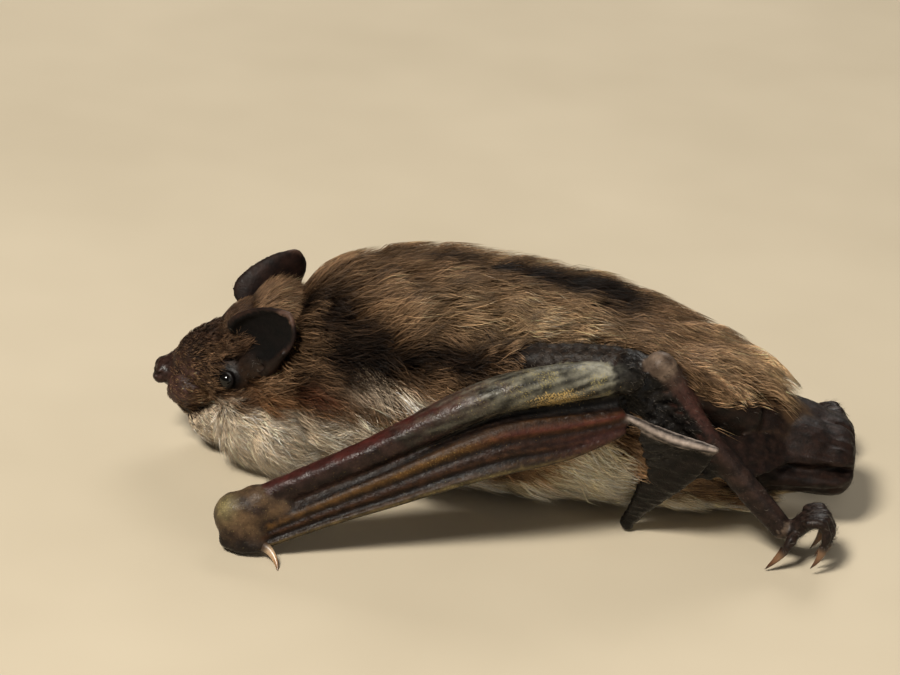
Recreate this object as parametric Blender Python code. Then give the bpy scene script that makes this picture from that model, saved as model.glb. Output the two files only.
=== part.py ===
"""A small vesper bat at rest, life size: it lies on its belly with its wings folded along its flanks.

The head points along -X, the left side faces -Y and +Z is up. The floor is at Z = 0, and the origin
lies on it under the middle of the model. Every size and place below is in millimetres, and mm() turns
it into metres.
The outer faces of the furred parts are the tips of the coat.
"""

import math

import bmesh
import bpy
from mathutils import Matrix, Vector

# --- sizes --------------------------------------------------------------------------------------

GAP = 0.2  # clearance between neighbouring pieces
THINNEST = 0.3  # half the least thickness of a membrane

# Trunk and neck: place along X, half width, height of the back and height of the belly, nose end first.
BODY = [
    (-17.5, 6.1, 13.7, 0.5),
    (-14.0, 7.9, 16.1, 0.0),
    (-10.5, 9.3, 17.3, -0.3),
    (-6.0, 10.2, 17.9, -0.3),
    (0.5, 10.4, 17.7, -0.3),
    (7.5, 9.8, 16.7, -0.3),
    (12.5, 8.9, 15.0, -0.2),
    (16.5, 7.6, 13.4, 0.1),
    (20.0, 5.9, 11.5, 0.7),
    (23.0, 3.7, 9.1, 1.4),
]
NECK_FROM, NECK_TO = -16.4, -12.6
RUMP_END = 23.0

EYE_RADIUS = 0.78
EYE = (-21.1, 3.95, 7.65)  # with Y as on the right side, like every place that a side doubles
EAR_HALF_WIDTH, EAR_BOWL, EAR_THICK = 2.6, 1.9, 0.55
TRAGUS_TIP = (-18.9, 5.7, 10.6)

FOREARM_RADII = [(1.2, 1.15), (1.5, 1.4), (1.45, 1.3), (1.2, 1.15), (1.0, 1.05), (0.95, 1.1)]
UPPER_ARM_RADII = [(1.9, 1.5), (1.7, 1.45), (1.6, 1.5), (1.5, 1.5)]
HAND_HALF_WIDTHS = [1.5, 1.85, 1.85, 1.55, 1.25, 1.05]  # from the knuckles to the wrist
HAND_HALF_THICK = 0.62
METACARPALS = 4
KNUCKLE_SLOPE, KNUCKLE_LENGTH = 0.7, 0.14  # the hand's outer edge slopes in towards the knuckles
HAND_DROPS = [0.9, 0.75, 0.4, 0.1, 0.0, 0.0]  # how much farther the hand lies from the forearm
FINGER_RADII = [(0.3, 0.3), (0.42, 0.32), (0.52, 0.34), (0.44, 0.32), (0.3, 0.3)]
WING_TIP_RADII = [(0.35, 0.32), (1.0, 0.32), (1.45, 0.34), (1.35, 0.38), (0.85, 0.42), (0.55, 0.42)]
SHIN_RADII = [(0.96, 0.96), (0.88, 0.85), (0.75, 0.75), (0.82, 0.78), (0.82, 0.78), (0.7, 0.68)]
THIGH_RADII = [(2.6, 2.3), (2.3, 2.0), (1.6, 1.5), (1.0, 1.0)]
TAIL_RADII = [(1.0, 0.9), (0.85, 0.75), (0.6, 0.6), (0.5, 0.5), (0.42, 0.42), (0.35, 0.35)]
TAIL_PATH = [(22.4, 0, 7.2), (24.4, 0, 8.0), (26.1, 0, 7.0), (26.4, 0, 5.2), (25.3, 0, 3.6), (23.0, 0, 2.8)]

TOES = 5
TOE_SPACING, TOE_RADIUS = 0.78, 0.36
CLAW_LENGTH, CLAW_RADIUS = 1.6, 0.24

# The pose of each side. Y counts outwards from the midline, so the same names serve both sides.
POSES = {
    "left": {
        "side": -1,
        "ear_base": (-19.7, 4.5, 7.6),
        "ear_tip": (-17.2, 6.3, 14.3),
        "shoulder": (-5.5, 7.2, 11.2),
        "elbow": (8.1, 9.8, 14.2),
        "wrist": (-18.4, 15.6, 3.1),
        "finger_joint": (15.5, 11.2, 9.9),
        "wing_tip": (9.9, 6.4, 0.9),
        "hip": (17.0, 3.6, 9.2),
        "knee": (10.9, 7.6, 14.4),
        "ankle": (21.3, 8.7, 2.8),
    },
    "right": {
        "side": 1,
        "ear_base": (-19.6, 4.6, 7.9),
        "ear_tip": (-18.0, 6.6, 14.4),
        "shoulder": (-5.5, 7.2, 10.8),
        "elbow": (9.4, 11.4, 10.2),
        "wrist": (-18.4, 15.6, 3.1),
        "finger_joint": (16.6, 12.0, 6.7),
        "wing_tip": (10.9, 8.2, 0.9),
        "hip": (17.0, 3.6, 8.4),
        "knee": (12.8, 9.6, 10.8),
        "ankle": (22.6, 8.7, 2.8),
    },
}

# --- small tools --------------------------------------------------------------------------------


def mm(*place):
    return Vector(place) * 0.001


def placed(pose, place):
    """A place given with Y outwards, in metres on the pose's own side."""
    x, y, z = place
    return mm(x, pose["side"] * y, z)


def between(values, t):
    """The value at t, from 0 to 1, on a smooth curve through evenly spaced numbers, tuples or vectors."""
    rows = [Vector(v) if hasattr(v, "__len__") else Vector((v, 0)) for v in values]
    where = min(max(t, 0.0), 1.0) * (len(rows) - 1)
    i = min(int(where), len(rows) - 2)
    u = where - i
    a, b, c, d = (rows[min(max(k, 0), len(rows) - 1)] for k in (i - 1, i, i + 1, i + 2))
    found = b + 0.5 * u * (c - a + u * (2 * a - 5 * b + 4 * c - d + u * (3 * (b - c) + d - a)))
    return found if hasattr(values[0], "__len__") else found[0]


def between_stations(stations, x):
    """The other columns of a table at x, its first column, on a smooth curve."""
    xs = [row[0] for row in stations]
    i = max(k for k in range(len(xs) - 1) if xs[k] <= x or k == 0)
    t = (i + (x - xs[i]) / (xs[i + 1] - xs[i])) / (len(xs) - 1)
    return between([row[1:] for row in stations], t)


def material(name, colour, roughness):
    made = bpy.data.materials.new(name)
    made.use_nodes = True
    shader = made.node_tree.nodes["Principled BSDF"]
    shader.inputs["Base Color"].default_value = (*colour, 1)
    shader.inputs["Roughness"].default_value = roughness
    shader.inputs["Metallic"].default_value = 0
    made.diffuse_color = (*colour, 1)
    return made


def new_object(name, mesh, finish):
    made = bpy.data.objects.new(name, mesh)
    bpy.context.scene.collection.objects.link(made)
    mesh.materials.clear()
    mesh.materials.append(finish)
    mesh.shade_smooth()
    mesh.set_sharp_from_angle(angle=math.radians(50))
    return made


def mesh_of_rings(name, rings, tips=(None, None)):
    """A closed mesh through rings of points. A fan closes each end, to its tip or the ring's middle."""
    bm = bmesh.new()
    loops = [[bm.verts.new(point) for point in ring] for ring in rings]
    count = len(rings[0])
    for one, two in zip(loops, loops[1:]):
        for k in range(count):
            bm.faces.new((one[k], one[(k + 1) % count], two[(k + 1) % count], two[k]))
    for loop, ring, tip in ((loops[0], rings[0], tips[0]), (loops[-1], rings[-1], tips[1])):
        middle = bm.verts.new(tip or sum(ring, Vector()) / count)
        for k in range(count):
            bm.faces.new((loop[k], loop[(k + 1) % count], middle))
    bmesh.ops.recalc_face_normals(bm, faces=bm.faces)
    bmesh.ops.triangulate(bm, faces=bm.faces)
    mesh = bpy.data.meshes.new(name)
    bm.to_mesh(mesh)
    bm.free()
    return mesh


def frame_along(path, i, up):
    """The direction of a path at its point i, with the sideways and upward directions square to it."""
    ahead = (path[min(i + 1, len(path) - 1)] - path[max(i - 1, 0)]).normalized()
    sideways = ahead.cross(up).normalized()
    return ahead, sideways, sideways.cross(ahead)


def tube_mesh(name, path, radii, steps=8, sides=8, up=(0, 0, 1), domes=1):
    """A rounded limb along a path, with domed ends. radii are (sideways, upward) pairs in millimetres."""
    up = Vector(up)
    points = [between(path, k / steps) for k in range(steps + 1)]
    sizes = [between(radii, k / steps) * 0.001 for k in range(steps + 1)]
    rings, tips = [], []

    def ring(i, ahead_by, share):
        ahead, sideways, upward = frame_along(points, i, up)
        centre = points[i] + ahead * ahead_by
        return [
            centre
            + sideways * math.cos(2 * math.pi * k / sides) * sizes[i][0] * share
            + upward * math.sin(2 * math.pi * k / sides) * sizes[i][1] * share
            for k in range(sides)
        ]

    def dome(i, way):
        """Rings past the end i, the outermost last, and the tip."""
        reach = way * min(sizes[i])
        turns = [math.pi / 2 * k / (domes + 1) for k in range(1, domes + 1)]
        found = [ring(i, reach * math.sin(turn), math.cos(turn)) for turn in turns]
        return found, points[i] + frame_along(points, i, up)[0] * reach

    start, start_tip = dome(0, -1)
    end, end_tip = dome(steps, 1)
    rings = start[::-1] + [ring(i, 0, 1) for i in range(steps + 1)] + end
    return mesh_of_rings(name, rings, (start_tip, end_tip))


def evaluated(obj):
    """Applies an object's modifiers to its mesh."""
    graph = bpy.context.evaluated_depsgraph_get()
    mesh = bpy.data.meshes.new_from_object(obj.evaluated_get(graph))
    finish = obj.data.materials[0] if obj.data.materials else None
    obj.modifiers.clear()
    obj.data = mesh
    bm = bmesh.new()
    bm.from_mesh(mesh)
    bmesh.ops.recalc_face_normals(bm, faces=bm.faces)
    bm.to_mesh(mesh)
    bm.free()
    if finish and not mesh.materials:
        mesh.materials.append(finish)
    return obj


def keep_largest(obj):
    """Removes the small scraps that a cut leaves, and keeps the piece with the most faces."""
    bm = bmesh.new()
    bm.from_mesh(obj.data)
    todo, islands = set(bm.verts), []
    while todo:
        edge, island = [todo.pop()], set()
        while edge:
            vert = edge.pop()
            island.add(vert)
            for other in (e.other_vert(vert) for e in vert.link_edges):
                if other in todo:
                    todo.discard(other)
                    edge.append(other)
        islands.append(island)
    if not islands:
        raise ValueError(f"nothing is left of {obj.name}")
    largest = max(islands, key=len)
    bmesh.ops.delete(bm, geom=[v for v in bm.verts if v not in largest], context="VERTS")
    bm.to_mesh(obj.data)
    bm.free()


def boolean(obj, other, operation):
    step = obj.modifiers.new(operation.lower(), "BOOLEAN")
    step.operation = operation
    step.solver = "EXACT"
    step.object = other
    evaluated(obj)
    return obj


def helper(mesh):
    """An object used only to shape others."""
    made = bpy.data.objects.new("helper", mesh)
    bpy.context.scene.collection.objects.link(made)
    return made


def simplify(obj, triangles):
    """Brings a cut or blended shape down to about so many triangles."""
    bm = bmesh.new()
    bm.from_mesh(obj.data)
    bmesh.ops.triangulate(bm, faces=bm.faces)
    full = len(bm.faces)
    bm.to_mesh(obj.data)
    bm.free()
    if full > triangles:
        step = obj.modifiers.new("decimate", "DECIMATE")
        step.ratio = triangles / full
        step.use_collapse_triangulate = True
        evaluated(obj)
    return obj


def grown(obj, voxel=0.0):
    """A helper of the object's shape, larger by the clearance. A voxel size tidies a creased shape."""
    mesh = obj.data.copy()
    bm = bmesh.new()
    bm.from_mesh(mesh)
    bmesh.ops.recalc_face_normals(bm, faces=bm.faces)
    bm.normal_update()
    for vert, normal in [(v, v.normal.copy()) for v in bm.verts]:
        vert.co += normal * GAP * 0.001
    bm.to_mesh(mesh)
    bm.free()
    made = helper(mesh)
    if voxel:
        triangles = len(mesh.polygons)
        remesh = made.modifiers.new("remesh", "REMESH")
        remesh.mode = "VOXEL"
        remesh.voxel_size = voxel * 0.001
        evaluated(made)
        simplify(made, triangles)
    return made


def cut_clear(obj, *others, triangles, voxel=0.0):
    """Cuts obj back so that it stays clear of the others, and brings it to about so many triangles."""
    for other in others:
        cutter = grown(other, voxel)
        boolean(obj, cutter, "DIFFERENCE")
        bpy.data.objects.remove(cutter)
    keep_largest(obj)
    return simplify(obj, triangles)


def block(centre, side):
    """A helper cube, in millimetres."""
    bm = bmesh.new()
    bmesh.ops.create_cube(bm, size=side * 0.001, matrix=Matrix.Translation(mm(*centre)))
    mesh = bpy.data.meshes.new("block")
    bm.to_mesh(mesh)
    bm.free()
    return helper(mesh)


def rest_on_floor(obj):
    """Cuts off what would reach below the floor, which leaves a small flat to rest on."""
    if min(vert.co.z for vert in obj.data.vertices) < 0:
        ground = block((0, 0, -50), 100)
        boolean(obj, ground, "DIFFERENCE")
        bpy.data.objects.remove(ground)
    return obj


def blob(centre, radii, lean=0.0, fineness=3):
    """An ellipsoid mesh, in millimetres, leaning nose down by so many degrees."""
    bm = bmesh.new()
    turn = Matrix.Rotation(math.radians(-lean), 4, "Y")
    shape = Matrix.Translation(mm(*centre)) @ turn @ Matrix.Diagonal((*mm(*radii), 1))
    bmesh.ops.create_icosphere(bm, subdivisions=fineness, radius=1, matrix=shape)
    mesh = bpy.data.meshes.new("blob")
    bm.to_mesh(mesh)
    bm.free()
    return mesh


def blended(name, meshes, finish, voxel, smoothing, triangles):
    """One closed body from overlapping meshes, with soft joins and about so many triangles."""
    bm = bmesh.new()
    for mesh in meshes:
        bm.from_mesh(mesh)
    joined = bpy.data.meshes.new(name)
    bm.to_mesh(joined)
    bm.free()
    made = new_object(name, joined, finish)
    remesh = made.modifiers.new("remesh", "REMESH")
    remesh.mode = "VOXEL"
    remesh.voxel_size = voxel * 0.001
    soften = made.modifiers.new("soften", "SMOOTH")
    soften.factor, soften.iterations = 0.5, smoothing
    evaluated(made)
    return simplify(made, triangles)


# --- trunk, neck and head -----------------------------------------------------------------------


def body_ring(x, sides=28):
    """The outline of the coat at x: a rounded section, flat underneath where it lies on the floor."""
    half_width, top, bottom = between_stations(BODY, x)
    middle, half_height = (top + bottom) / 2, (top - bottom) / 2
    ring = []
    for k in range(sides):
        turn = 2 * math.pi * (k + 0.5) / sides
        power = 0.94 if math.sin(turn) > 0 else 1.15
        y = math.copysign(abs(math.cos(turn)) ** power, math.cos(turn)) * half_width
        z = middle + math.copysign(abs(math.sin(turn)) ** power, math.sin(turn)) * half_height
        ring.append(mm(x, y, max(z, 0.0)))
    return ring


def body_mesh(name, x_from, x_to, steps, tip=None):
    rings = [body_ring(x_from + (x_to - x_from) * k / steps) for k in range(steps + 1)]
    return mesh_of_rings(name, rings, (None, tip))


def make_trunk(finish):
    rump = mm(RUMP_END + 0.9, 0, 4.9)
    return new_object("trunk", body_mesh("trunk", NECK_TO + GAP, RUMP_END, 22, rump), finish)


def make_neck(finish):
    return new_object("neck", body_mesh("neck", NECK_FROM, NECK_TO, 4), finish)


def make_head(finish):
    """Braincase, brow, tapering muzzle with swollen sides, nose pad, lower jaw and the furred throat."""
    sided = [
        ((-24.1, 1.55, 5.5), (1.9, 1.45, 1.5), 12),  # glands on the muzzle
        ((-22.0, 2.2, 7.3), (2.2, 1.5, 1.6), 20),  # brow over the eye
        ((-18.9, 3.2, 4.2), (3.4, 2.8, 3.7), 10),  # cheek
        ((-18.2, 2.6, 8.4), (2.6, 2.0, 2.9), 0),  # base of the ear
        ((-26.55, 0.62, 6.0), (0.72, 0.72, 0.85), 0),  # nostril bump
    ]
    middle = [
        ((-19.4, 0, 8.2), (4.3, 4.5, 4.3), 0),  # braincase
        ((-22.4, 0, 6.9), (4.2, 3.1, 3.0), 28),  # forehead and muzzle
        ((-24.9, 0, 5.9), (1.9, 1.75, 1.65), 10),  # bridge of the nose
        ((-26.3, 0, 6.1), (0.95, 0.95, 1.0), 0),  # nose pad
        ((-22.9, 0, 3.5), (2.9, 2.2, 1.5), -18),  # lower jaw
        ((-20.4, 0, 3.6), (3.4, 3.6, 3.2), 0),  # throat
    ]
    blobs = [blob(*row) for row in middle]
    for (x, y, z), radii, lean in sided:
        blobs += [blob((x, side * y, z), radii, lean) for side in (-1, 1)]
    blobs.append(body_mesh("nape", -17.4, NECK_FROM + 1.5, 4))
    head = blended("head", blobs, finish, voxel=0.3, smoothing=4, triangles=1500)
    rest_on_floor(head)
    behind = block((NECK_FROM - GAP + 20, 0, 10), 40)
    boolean(head, behind, "DIFFERENCE")
    bpy.data.objects.remove(behind)
    for side in (-1, 1):
        nostril = helper(blob((-27.05, side * 0.72, 6.1), (0.42, 0.3, 0.3), 0))
        boolean(head, nostril, "DIFFERENCE")
        bpy.data.objects.remove(nostril)
    keep_largest(head)
    return head


def make_eye(name, pose, finish, head):
    x, y, z = EYE
    eye = new_object(name, blob((x, pose["side"] * y, z), (EYE_RADIUS,) * 3, fineness=2), finish)
    socket = grown(eye)
    boolean(head, socket, "DIFFERENCE")
    bpy.data.objects.remove(socket)
    return eye


def make_ear(name, pose, finish):
    """A leaf rolled into a bowl that opens outwards and forwards, with a rounded tip."""
    base, tip = placed(pose, pose["ear_base"]), placed(pose, pose["ear_tip"])
    axis = tip - base
    opening = Vector((-0.5, pose["side"] * 0.85, 0.1))
    opening = (opening - axis.normalized() * opening.dot(axis.normalized())).normalized()
    across = axis.normalized().cross(opening)
    rows, columns = 9, 8
    bm = bmesh.new()
    grid = []
    for i in range(rows + 1):
        s = i / rows
        swell = (0.55 + 0.45 * math.sin(math.pi * min(s * 1.35, 1) / 2)) * math.sqrt(max(1 - s**3.2, 0.0))
        half_width = EAR_HALF_WIDTH * max(swell, 0.18)
        bowl = EAR_BOWL * (1 - 0.75 * s) * half_width / EAR_HALF_WIDTH
        row = []
        for j in range(columns + 1):
            turn = math.pi / 2 * (2 * j / columns - 1)
            point = base + axis * (s - 0.06 * s * (1 - math.cos(turn)))
            point += across * math.sin(turn) * half_width * 0.001
            point -= opening * math.cos(turn) * bowl * 0.001
            point -= opening * 0.9 * s * s * 0.001
            row.append(bm.verts.new(point))
        grid.append(row)
    for one, two in zip(grid, grid[1:]):
        for j in range(columns):
            bm.faces.new((one[j], one[j + 1], two[j + 1], two[j]))
    mesh = bpy.data.meshes.new(name)
    bm.to_mesh(mesh)
    bm.free()
    ear = new_object(name, mesh, finish)
    thick = ear.modifiers.new("thick", "SOLIDIFY")
    thick.thickness = EAR_THICK * 0.001
    thick.offset = 0
    return evaluated(ear)


def make_tragus(name, pose, finish):
    base, tip = placed(pose, pose["ear_base"]), placed(pose, TRAGUS_TIP)
    path = [base, base.lerp(tip, 0.5), tip]
    mesh = tube_mesh(name, path, [(0.6, 0.3), (0.65, 0.3), (0.4, 0.28)], steps=4, sides=6, up=(0, 1, 0))
    return new_object(name, mesh, finish)


# --- wings --------------------------------------------------------------------------------------


def forearm_path(pose):
    elbow, wrist = placed(pose, pose["elbow"]), placed(pose, pose["wrist"])
    near_bow, far_bow = mm(0, pose["side"] * 0.3, 2.2), mm(0, pose["side"] * 0.35, 1.0)
    return [elbow, elbow.lerp(wrist, 0.33) + near_bow, elbow.lerp(wrist, 0.67) + far_bow, wrist]


def hand_offset(pose):
    """The way from the forearm to the folded hand, which lies below it and outwards."""
    return Vector((-0.12, pose["side"] * 0.42, -0.9)).normalized()


def hand_ring(pose, t, scale=1.0):
    """A section of the folded hand at t, from knuckles to wrist: a flat bundle ribbed by its bones."""
    path = forearm_path(pose)
    ahead = (between(path, min(t + 0.05, 1)) - between(path, max(t - 0.05, 0))).normalized()
    offset = hand_offset(pose)
    offset = (offset - ahead * offset.dot(ahead)).normalized()
    outwards = ahead.cross(offset)
    half_width = between(HAND_HALF_WIDTHS, t)
    reach = between(FOREARM_RADII, t)[1] + GAP + between(HAND_DROPS, t) + half_width
    centre = between(path, t) + offset * reach * 0.001
    edge = []
    steps = METACARPALS * 2
    slope = 1 - KNUCKLE_SLOPE * max(0, 1 - t / KNUCKLE_LENGTH) ** 2
    for k in range(steps + 1):
        across = 2 * k / steps - 1
        rib = 0.62 + 0.38 * (k % 2)
        taper = 1 - 0.45 * across**4
        if across > 0:
            across *= slope
        edge.append((across * half_width * scale, HAND_HALF_THICK * rib * taper * scale))
    outline = edge + [(u, -v) for u, v in reversed(edge)]
    return [centre + offset * u * 0.001 + outwards * v * 0.001 for u, v in outline]


def make_hand(name, pose, finish):
    """The four long hand bones and the wing skin pleated between them, folded back from the wrist."""
    first, last, steps = 0.0, 0.93, 14
    rings = [hand_ring(pose, first + (last - first) * k / steps) for k in range(steps + 1)]
    ahead = (rings[0][0] - rings[1][0]).normalized()
    end = [point + ahead * 0.0006 for point in hand_ring(pose, first, 0.6)]
    return new_object(name, mesh_of_rings(name, [end, *rings]), finish)


def make_forearm(name, pose, finish):
    mesh = tube_mesh(name, forearm_path(pose), FOREARM_RADII, steps=12, sides=10)
    return new_object(name, mesh, finish)


def make_wrist(name, pose, finish):
    """The blunt wrist, which carries the front of the body."""
    x, y, z = pose["wrist"]
    side = pose["side"]
    knobs = (
        ((1.2, -0.1, 0.7), (1.5, 1.3, 1.3)),
        ((-0.2, 0.1, -0.5), (1.75, 1.55, 1.7)),
        ((0.1, 0.4, -1.75), (1.6, 1.55, 1.7)),
    )
    blobs = [blob((x + dx, side * (y + dy), z + dz), radii) for (dx, dy, dz), radii in knobs]
    return rest_on_floor(blended(name, blobs, finish, voxel=0.25, smoothing=3, triangles=200))


def make_upper_arm(name, pose, finish):
    shoulder, elbow = placed(pose, pose["shoulder"]), placed(pose, pose["elbow"])
    end = shoulder.lerp(elbow, 0.95) + mm(0, -pose["side"] * 0.7, 0.9)
    path = [shoulder, shoulder.lerp(end, 0.5) + mm(0, 0, 0.7), end]
    return new_object(name, tube_mesh(name, path, UPPER_ARM_RADII, steps=7, sides=10), finish)


def make_finger(name, pose, finish):
    """The next bones of the folded fingers, from the knuckles to the tight bend by the shin."""
    start = sum(hand_ring(pose, 0.0), Vector()) / len(hand_ring(pose, 0.0)) - hand_offset(pose) * 0.0008
    end = placed(pose, pose["finger_joint"])
    start += (end - start).normalized() * 0.0013
    path = [start, start.lerp(end, 0.5) - mm(0, 0, 0.35), end]
    mesh = tube_mesh(name, path, FINGER_RADII, steps=7, sides=6, up=(0, pose["side"], 0.3))
    return new_object(name, mesh, finish)


def make_wing_tip(name, pose, finish):
    """The last bones with their folded skin, turned back forwards and down to the floor."""
    start, end = placed(pose, pose["finger_joint"]), placed(pose, pose["wing_tip"])
    start = start.lerp(end, 0.07)
    path = [start, start.lerp(end, 0.5) + mm(-0.5, pose["side"] * 0.3, 0.6), end]
    mesh = tube_mesh(name, path, WING_TIP_RADII, steps=8, sides=8, up=(0, pose["side"], 0.15))
    return rest_on_floor(new_object(name, mesh, finish))


def make_thumb(name, pose, finish):
    wrist, side = placed(pose, pose["wrist"]), pose["side"]
    steps = ((-1.3, side * 1.2, -2.4), (0.3, side * 1.6, -2.4), (1.7, side * 1.6, -2.2))
    path = [wrist + mm(*step) for step in steps]
    mesh = tube_mesh(name, path, [(0.62, 0.68), (0.7, 0.75), (0.45, 0.5)], steps=5, sides=8)
    return rest_on_floor(new_object(name, mesh, finish))


def claw_mesh(name, base, way, down, length, radius):
    """A hooked cone that leaves its base along way and bends towards down."""
    way, down = way.normalized(), down.normalized()
    sideways = way.cross(down).normalized()
    steps, sides = 4, 5
    bend = 1.3  # radians from base to tip

    def centre(t):
        """The middle of the claw at t, from 0 at the base to 1 at the tip."""
        forwards = way * math.sin(t * bend)
        downwards = down * (1 - math.cos(t * bend)) * 1.2
        return base + (forwards + downwards) * length / bend * 0.001

    rings = []
    for k in range(steps):
        t = k / steps
        ahead = (way * math.cos(t * bend) + down * math.sin(t * bend)).normalized()
        upward = sideways.cross(ahead)
        size = radius * (1 - t) ** 0.8 * 0.001
        ring = []
        for j in range(sides):
            turn = 2 * math.pi * (j + 0.3) / sides
            flat, deep = math.cos(turn) * 0.75, math.sin(turn) * 1.25
            ring.append(centre(t) + (sideways * flat + upward * deep) * size)
        rings.append(ring)
    return mesh_of_rings(name, rings, (None, centre(1)))


def make_thumb_claw(name, pose, finish):
    wrist, side = placed(pose, pose["wrist"]), pose["side"]
    base = wrist + mm(2.5, side * 1.65, -2.1)
    mesh = claw_mesh(name, base, Vector((0.8, side * 0.5, -0.1)), Vector((0.0, side * 0.75, -1)), 2.0, 0.36)
    return rest_on_floor(new_object(name, mesh, finish))


def make_side_membrane(name, pose, finish):
    """The wing skin gathered between the elbow, the knee and the shin."""
    side = pose["side"]
    elbow, knee, ankle = (placed(pose, pose[k]) for k in ("elbow", "knee", "ankle"))
    tip = placed(pose, pose["wing_tip"])
    corners = [
        elbow + mm(-2.6, side * 0.1, 0.5),
        knee + mm(-0.2, side * 0.6, -0.4),
        knee.lerp(ankle, 0.66) + mm(0, side * 0.2, -0.2),
        tip + mm(0.9, side * 1.2, 3.9),
    ]
    steps = 6
    outer, inner = [], []
    for i in range(steps + 1):
        u = i / steps
        for j in range(steps + 1):
            v = j / steps
            point = corners[0].lerp(corners[1], u).lerp(corners[3].lerp(corners[2], u), v)
            pleat = 0.35 * math.sin(u * math.pi * 3 + v) * math.sin(math.pi * v)
            point += mm(0, side * pleat, 0)
            outer.append(point + mm(0, side * THINNEST, 0))
            inner.append(point - mm(0, side * THINNEST, 0))
    bm = bmesh.new()
    size = steps + 1
    layers = [[bm.verts.new(p) for p in outer], [bm.verts.new(p) for p in inner]]
    for layer in layers:
        for i in range(steps):
            for j in range(steps):
                k = i * size + j
                bm.faces.new((layer[k], layer[k + 1], layer[k + size + 1], layer[k + size]))
    rim = [i * size for i in range(steps)] + [steps * size + j for j in range(steps)]
    rim += [i * size + steps for i in range(steps, 0, -1)] + list(range(steps, 0, -1))
    for a, b in zip(rim, rim[1:] + rim[:1]):
        bm.faces.new((layers[0][a], layers[0][b], layers[1][b], layers[1][a]))
    bmesh.ops.recalc_face_normals(bm, faces=bm.faces)
    bmesh.ops.triangulate(bm, faces=bm.faces)
    mesh = bpy.data.meshes.new(name)
    bm.to_mesh(mesh)
    bm.free()
    return new_object(name, mesh, finish)


# --- legs and tail ------------------------------------------------------------------------------


def make_thigh(name, pose, finish):
    hip, knee = placed(pose, pose["hip"]), placed(pose, pose["knee"])
    end = hip.lerp(knee, 0.8)
    path = [hip, hip.lerp(end, 0.5) + mm(0, pose["side"] * 0.4, 0.2), end]
    return new_object(name, tube_mesh(name, path, THIGH_RADII, steps=6, sides=10), finish)


def make_shin(name, pose, finish):
    knee, ankle = placed(pose, pose["knee"]), placed(pose, pose["ankle"])
    path = [knee, knee.lerp(ankle, 0.5) - mm(0.4, 0, 0.2), ankle]
    return new_object(name, tube_mesh(name, path, SHIN_RADII, steps=10, sides=8, up=(0, 1, 0)), finish)


def toe_path(pose, i):
    """Where toe i runs. The first stands apart by the heel, and the rest hook over and down."""
    ankle, side = placed(pose, pose["ankle"]), pose["side"]
    if i == 0:
        steps = ((0.8, side * 0.9, 0.0), (0.6, side * 1.4, -0.4), (0.3, side * 1.5, -0.9))
        return [ankle + mm(*step) for step in steps]
    across = (TOES / 2 - i) * TOE_SPACING
    spread = 0.25 * across
    reach = 1 - 0.12 * abs(across)
    places = ((2.0, 1.4), (3.1, 1.5), (3.7, 0.7), (3.6, -0.2))
    steps = [(x * reach, side * (0.2 + across + spread * k / 3), z) for k, (x, z) in enumerate(places)]
    return [ankle + mm(*p) for p in steps]


def make_foot(name, pose, finish):
    ankle, side = placed(pose, pose["ankle"]), pose["side"]
    steps = ((0.75, side * 0.1, -0.1), (1.5, side * 0.1, 0.8), (2.2, side * 0.1, 1.3))
    sole = [ankle + mm(*step) for step in steps]
    parts = [tube_mesh("sole", sole, [(0.62, 0.7), (1.1, 0.7), (1.5, 0.6)], steps=5, sides=10)]
    radii = [(TOE_RADIUS * share, TOE_RADIUS * share) for share in (1.08, 1.05, 0.8)]
    for i in range(TOES):
        parts.append(tube_mesh("toe", toe_path(pose, i), radii, steps=7, sides=8, up=(0, 1, 0.1)))
    return rest_on_floor(blended(name, parts, finish, voxel=0.13, smoothing=2, triangles=300))


def make_toe_claw(name, pose, finish, i):
    path = toe_path(pose, i)
    way = (path[-1] - path[-2]).normalized()
    base = path[-1] + way * (TOE_RADIUS * 0.8 + GAP) * 0.001
    back = Vector((-0.7, 0, -0.7))
    mesh = claw_mesh(name, base, way, back, CLAW_LENGTH, CLAW_RADIUS)
    return rest_on_floor(new_object(name, mesh, finish))


def make_tail(finish):
    path = [mm(*p) for p in TAIL_PATH]
    return new_object("tail", tube_mesh("tail", path, TAIL_RADII, steps=10, sides=6, up=(0, 1, 0)), finish)


def pouch_ring(pose, x):
    """Half a section of the tail membrane at x, folded under itself, with a deep crease along its side."""
    t = (x - 20.0) / (26.5 - 20.0)
    round_off = math.sqrt(max(1 - max(t - 0.72, 0) ** 2 / 0.28**2, 0.02))
    middle = 5.7 - 0.1 * t
    half_height = (2.6 + 0.2 * t) * (0.35 + 0.65 * round_off)
    half_width = (5.6 - 0.7 * t) * (0.55 + 0.45 * round_off)
    crease = 1.5 * min(1, max(0, t) * 3) * round_off
    ring = []
    sides = 16
    for k in range(sides + 1):
        turn = math.pi / 2 - math.pi * k / sides
        y = 0.15 + half_width * math.cos(turn) ** 0.8
        z = middle + half_height * math.copysign(abs(math.sin(turn)) ** 0.9, math.sin(turn))
        y -= crease * math.exp(-(((turn + 0.5) / 0.22) ** 2))
        ring.append(placed(pose, (x, max(y, 0.15), z)))
    return ring


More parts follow.
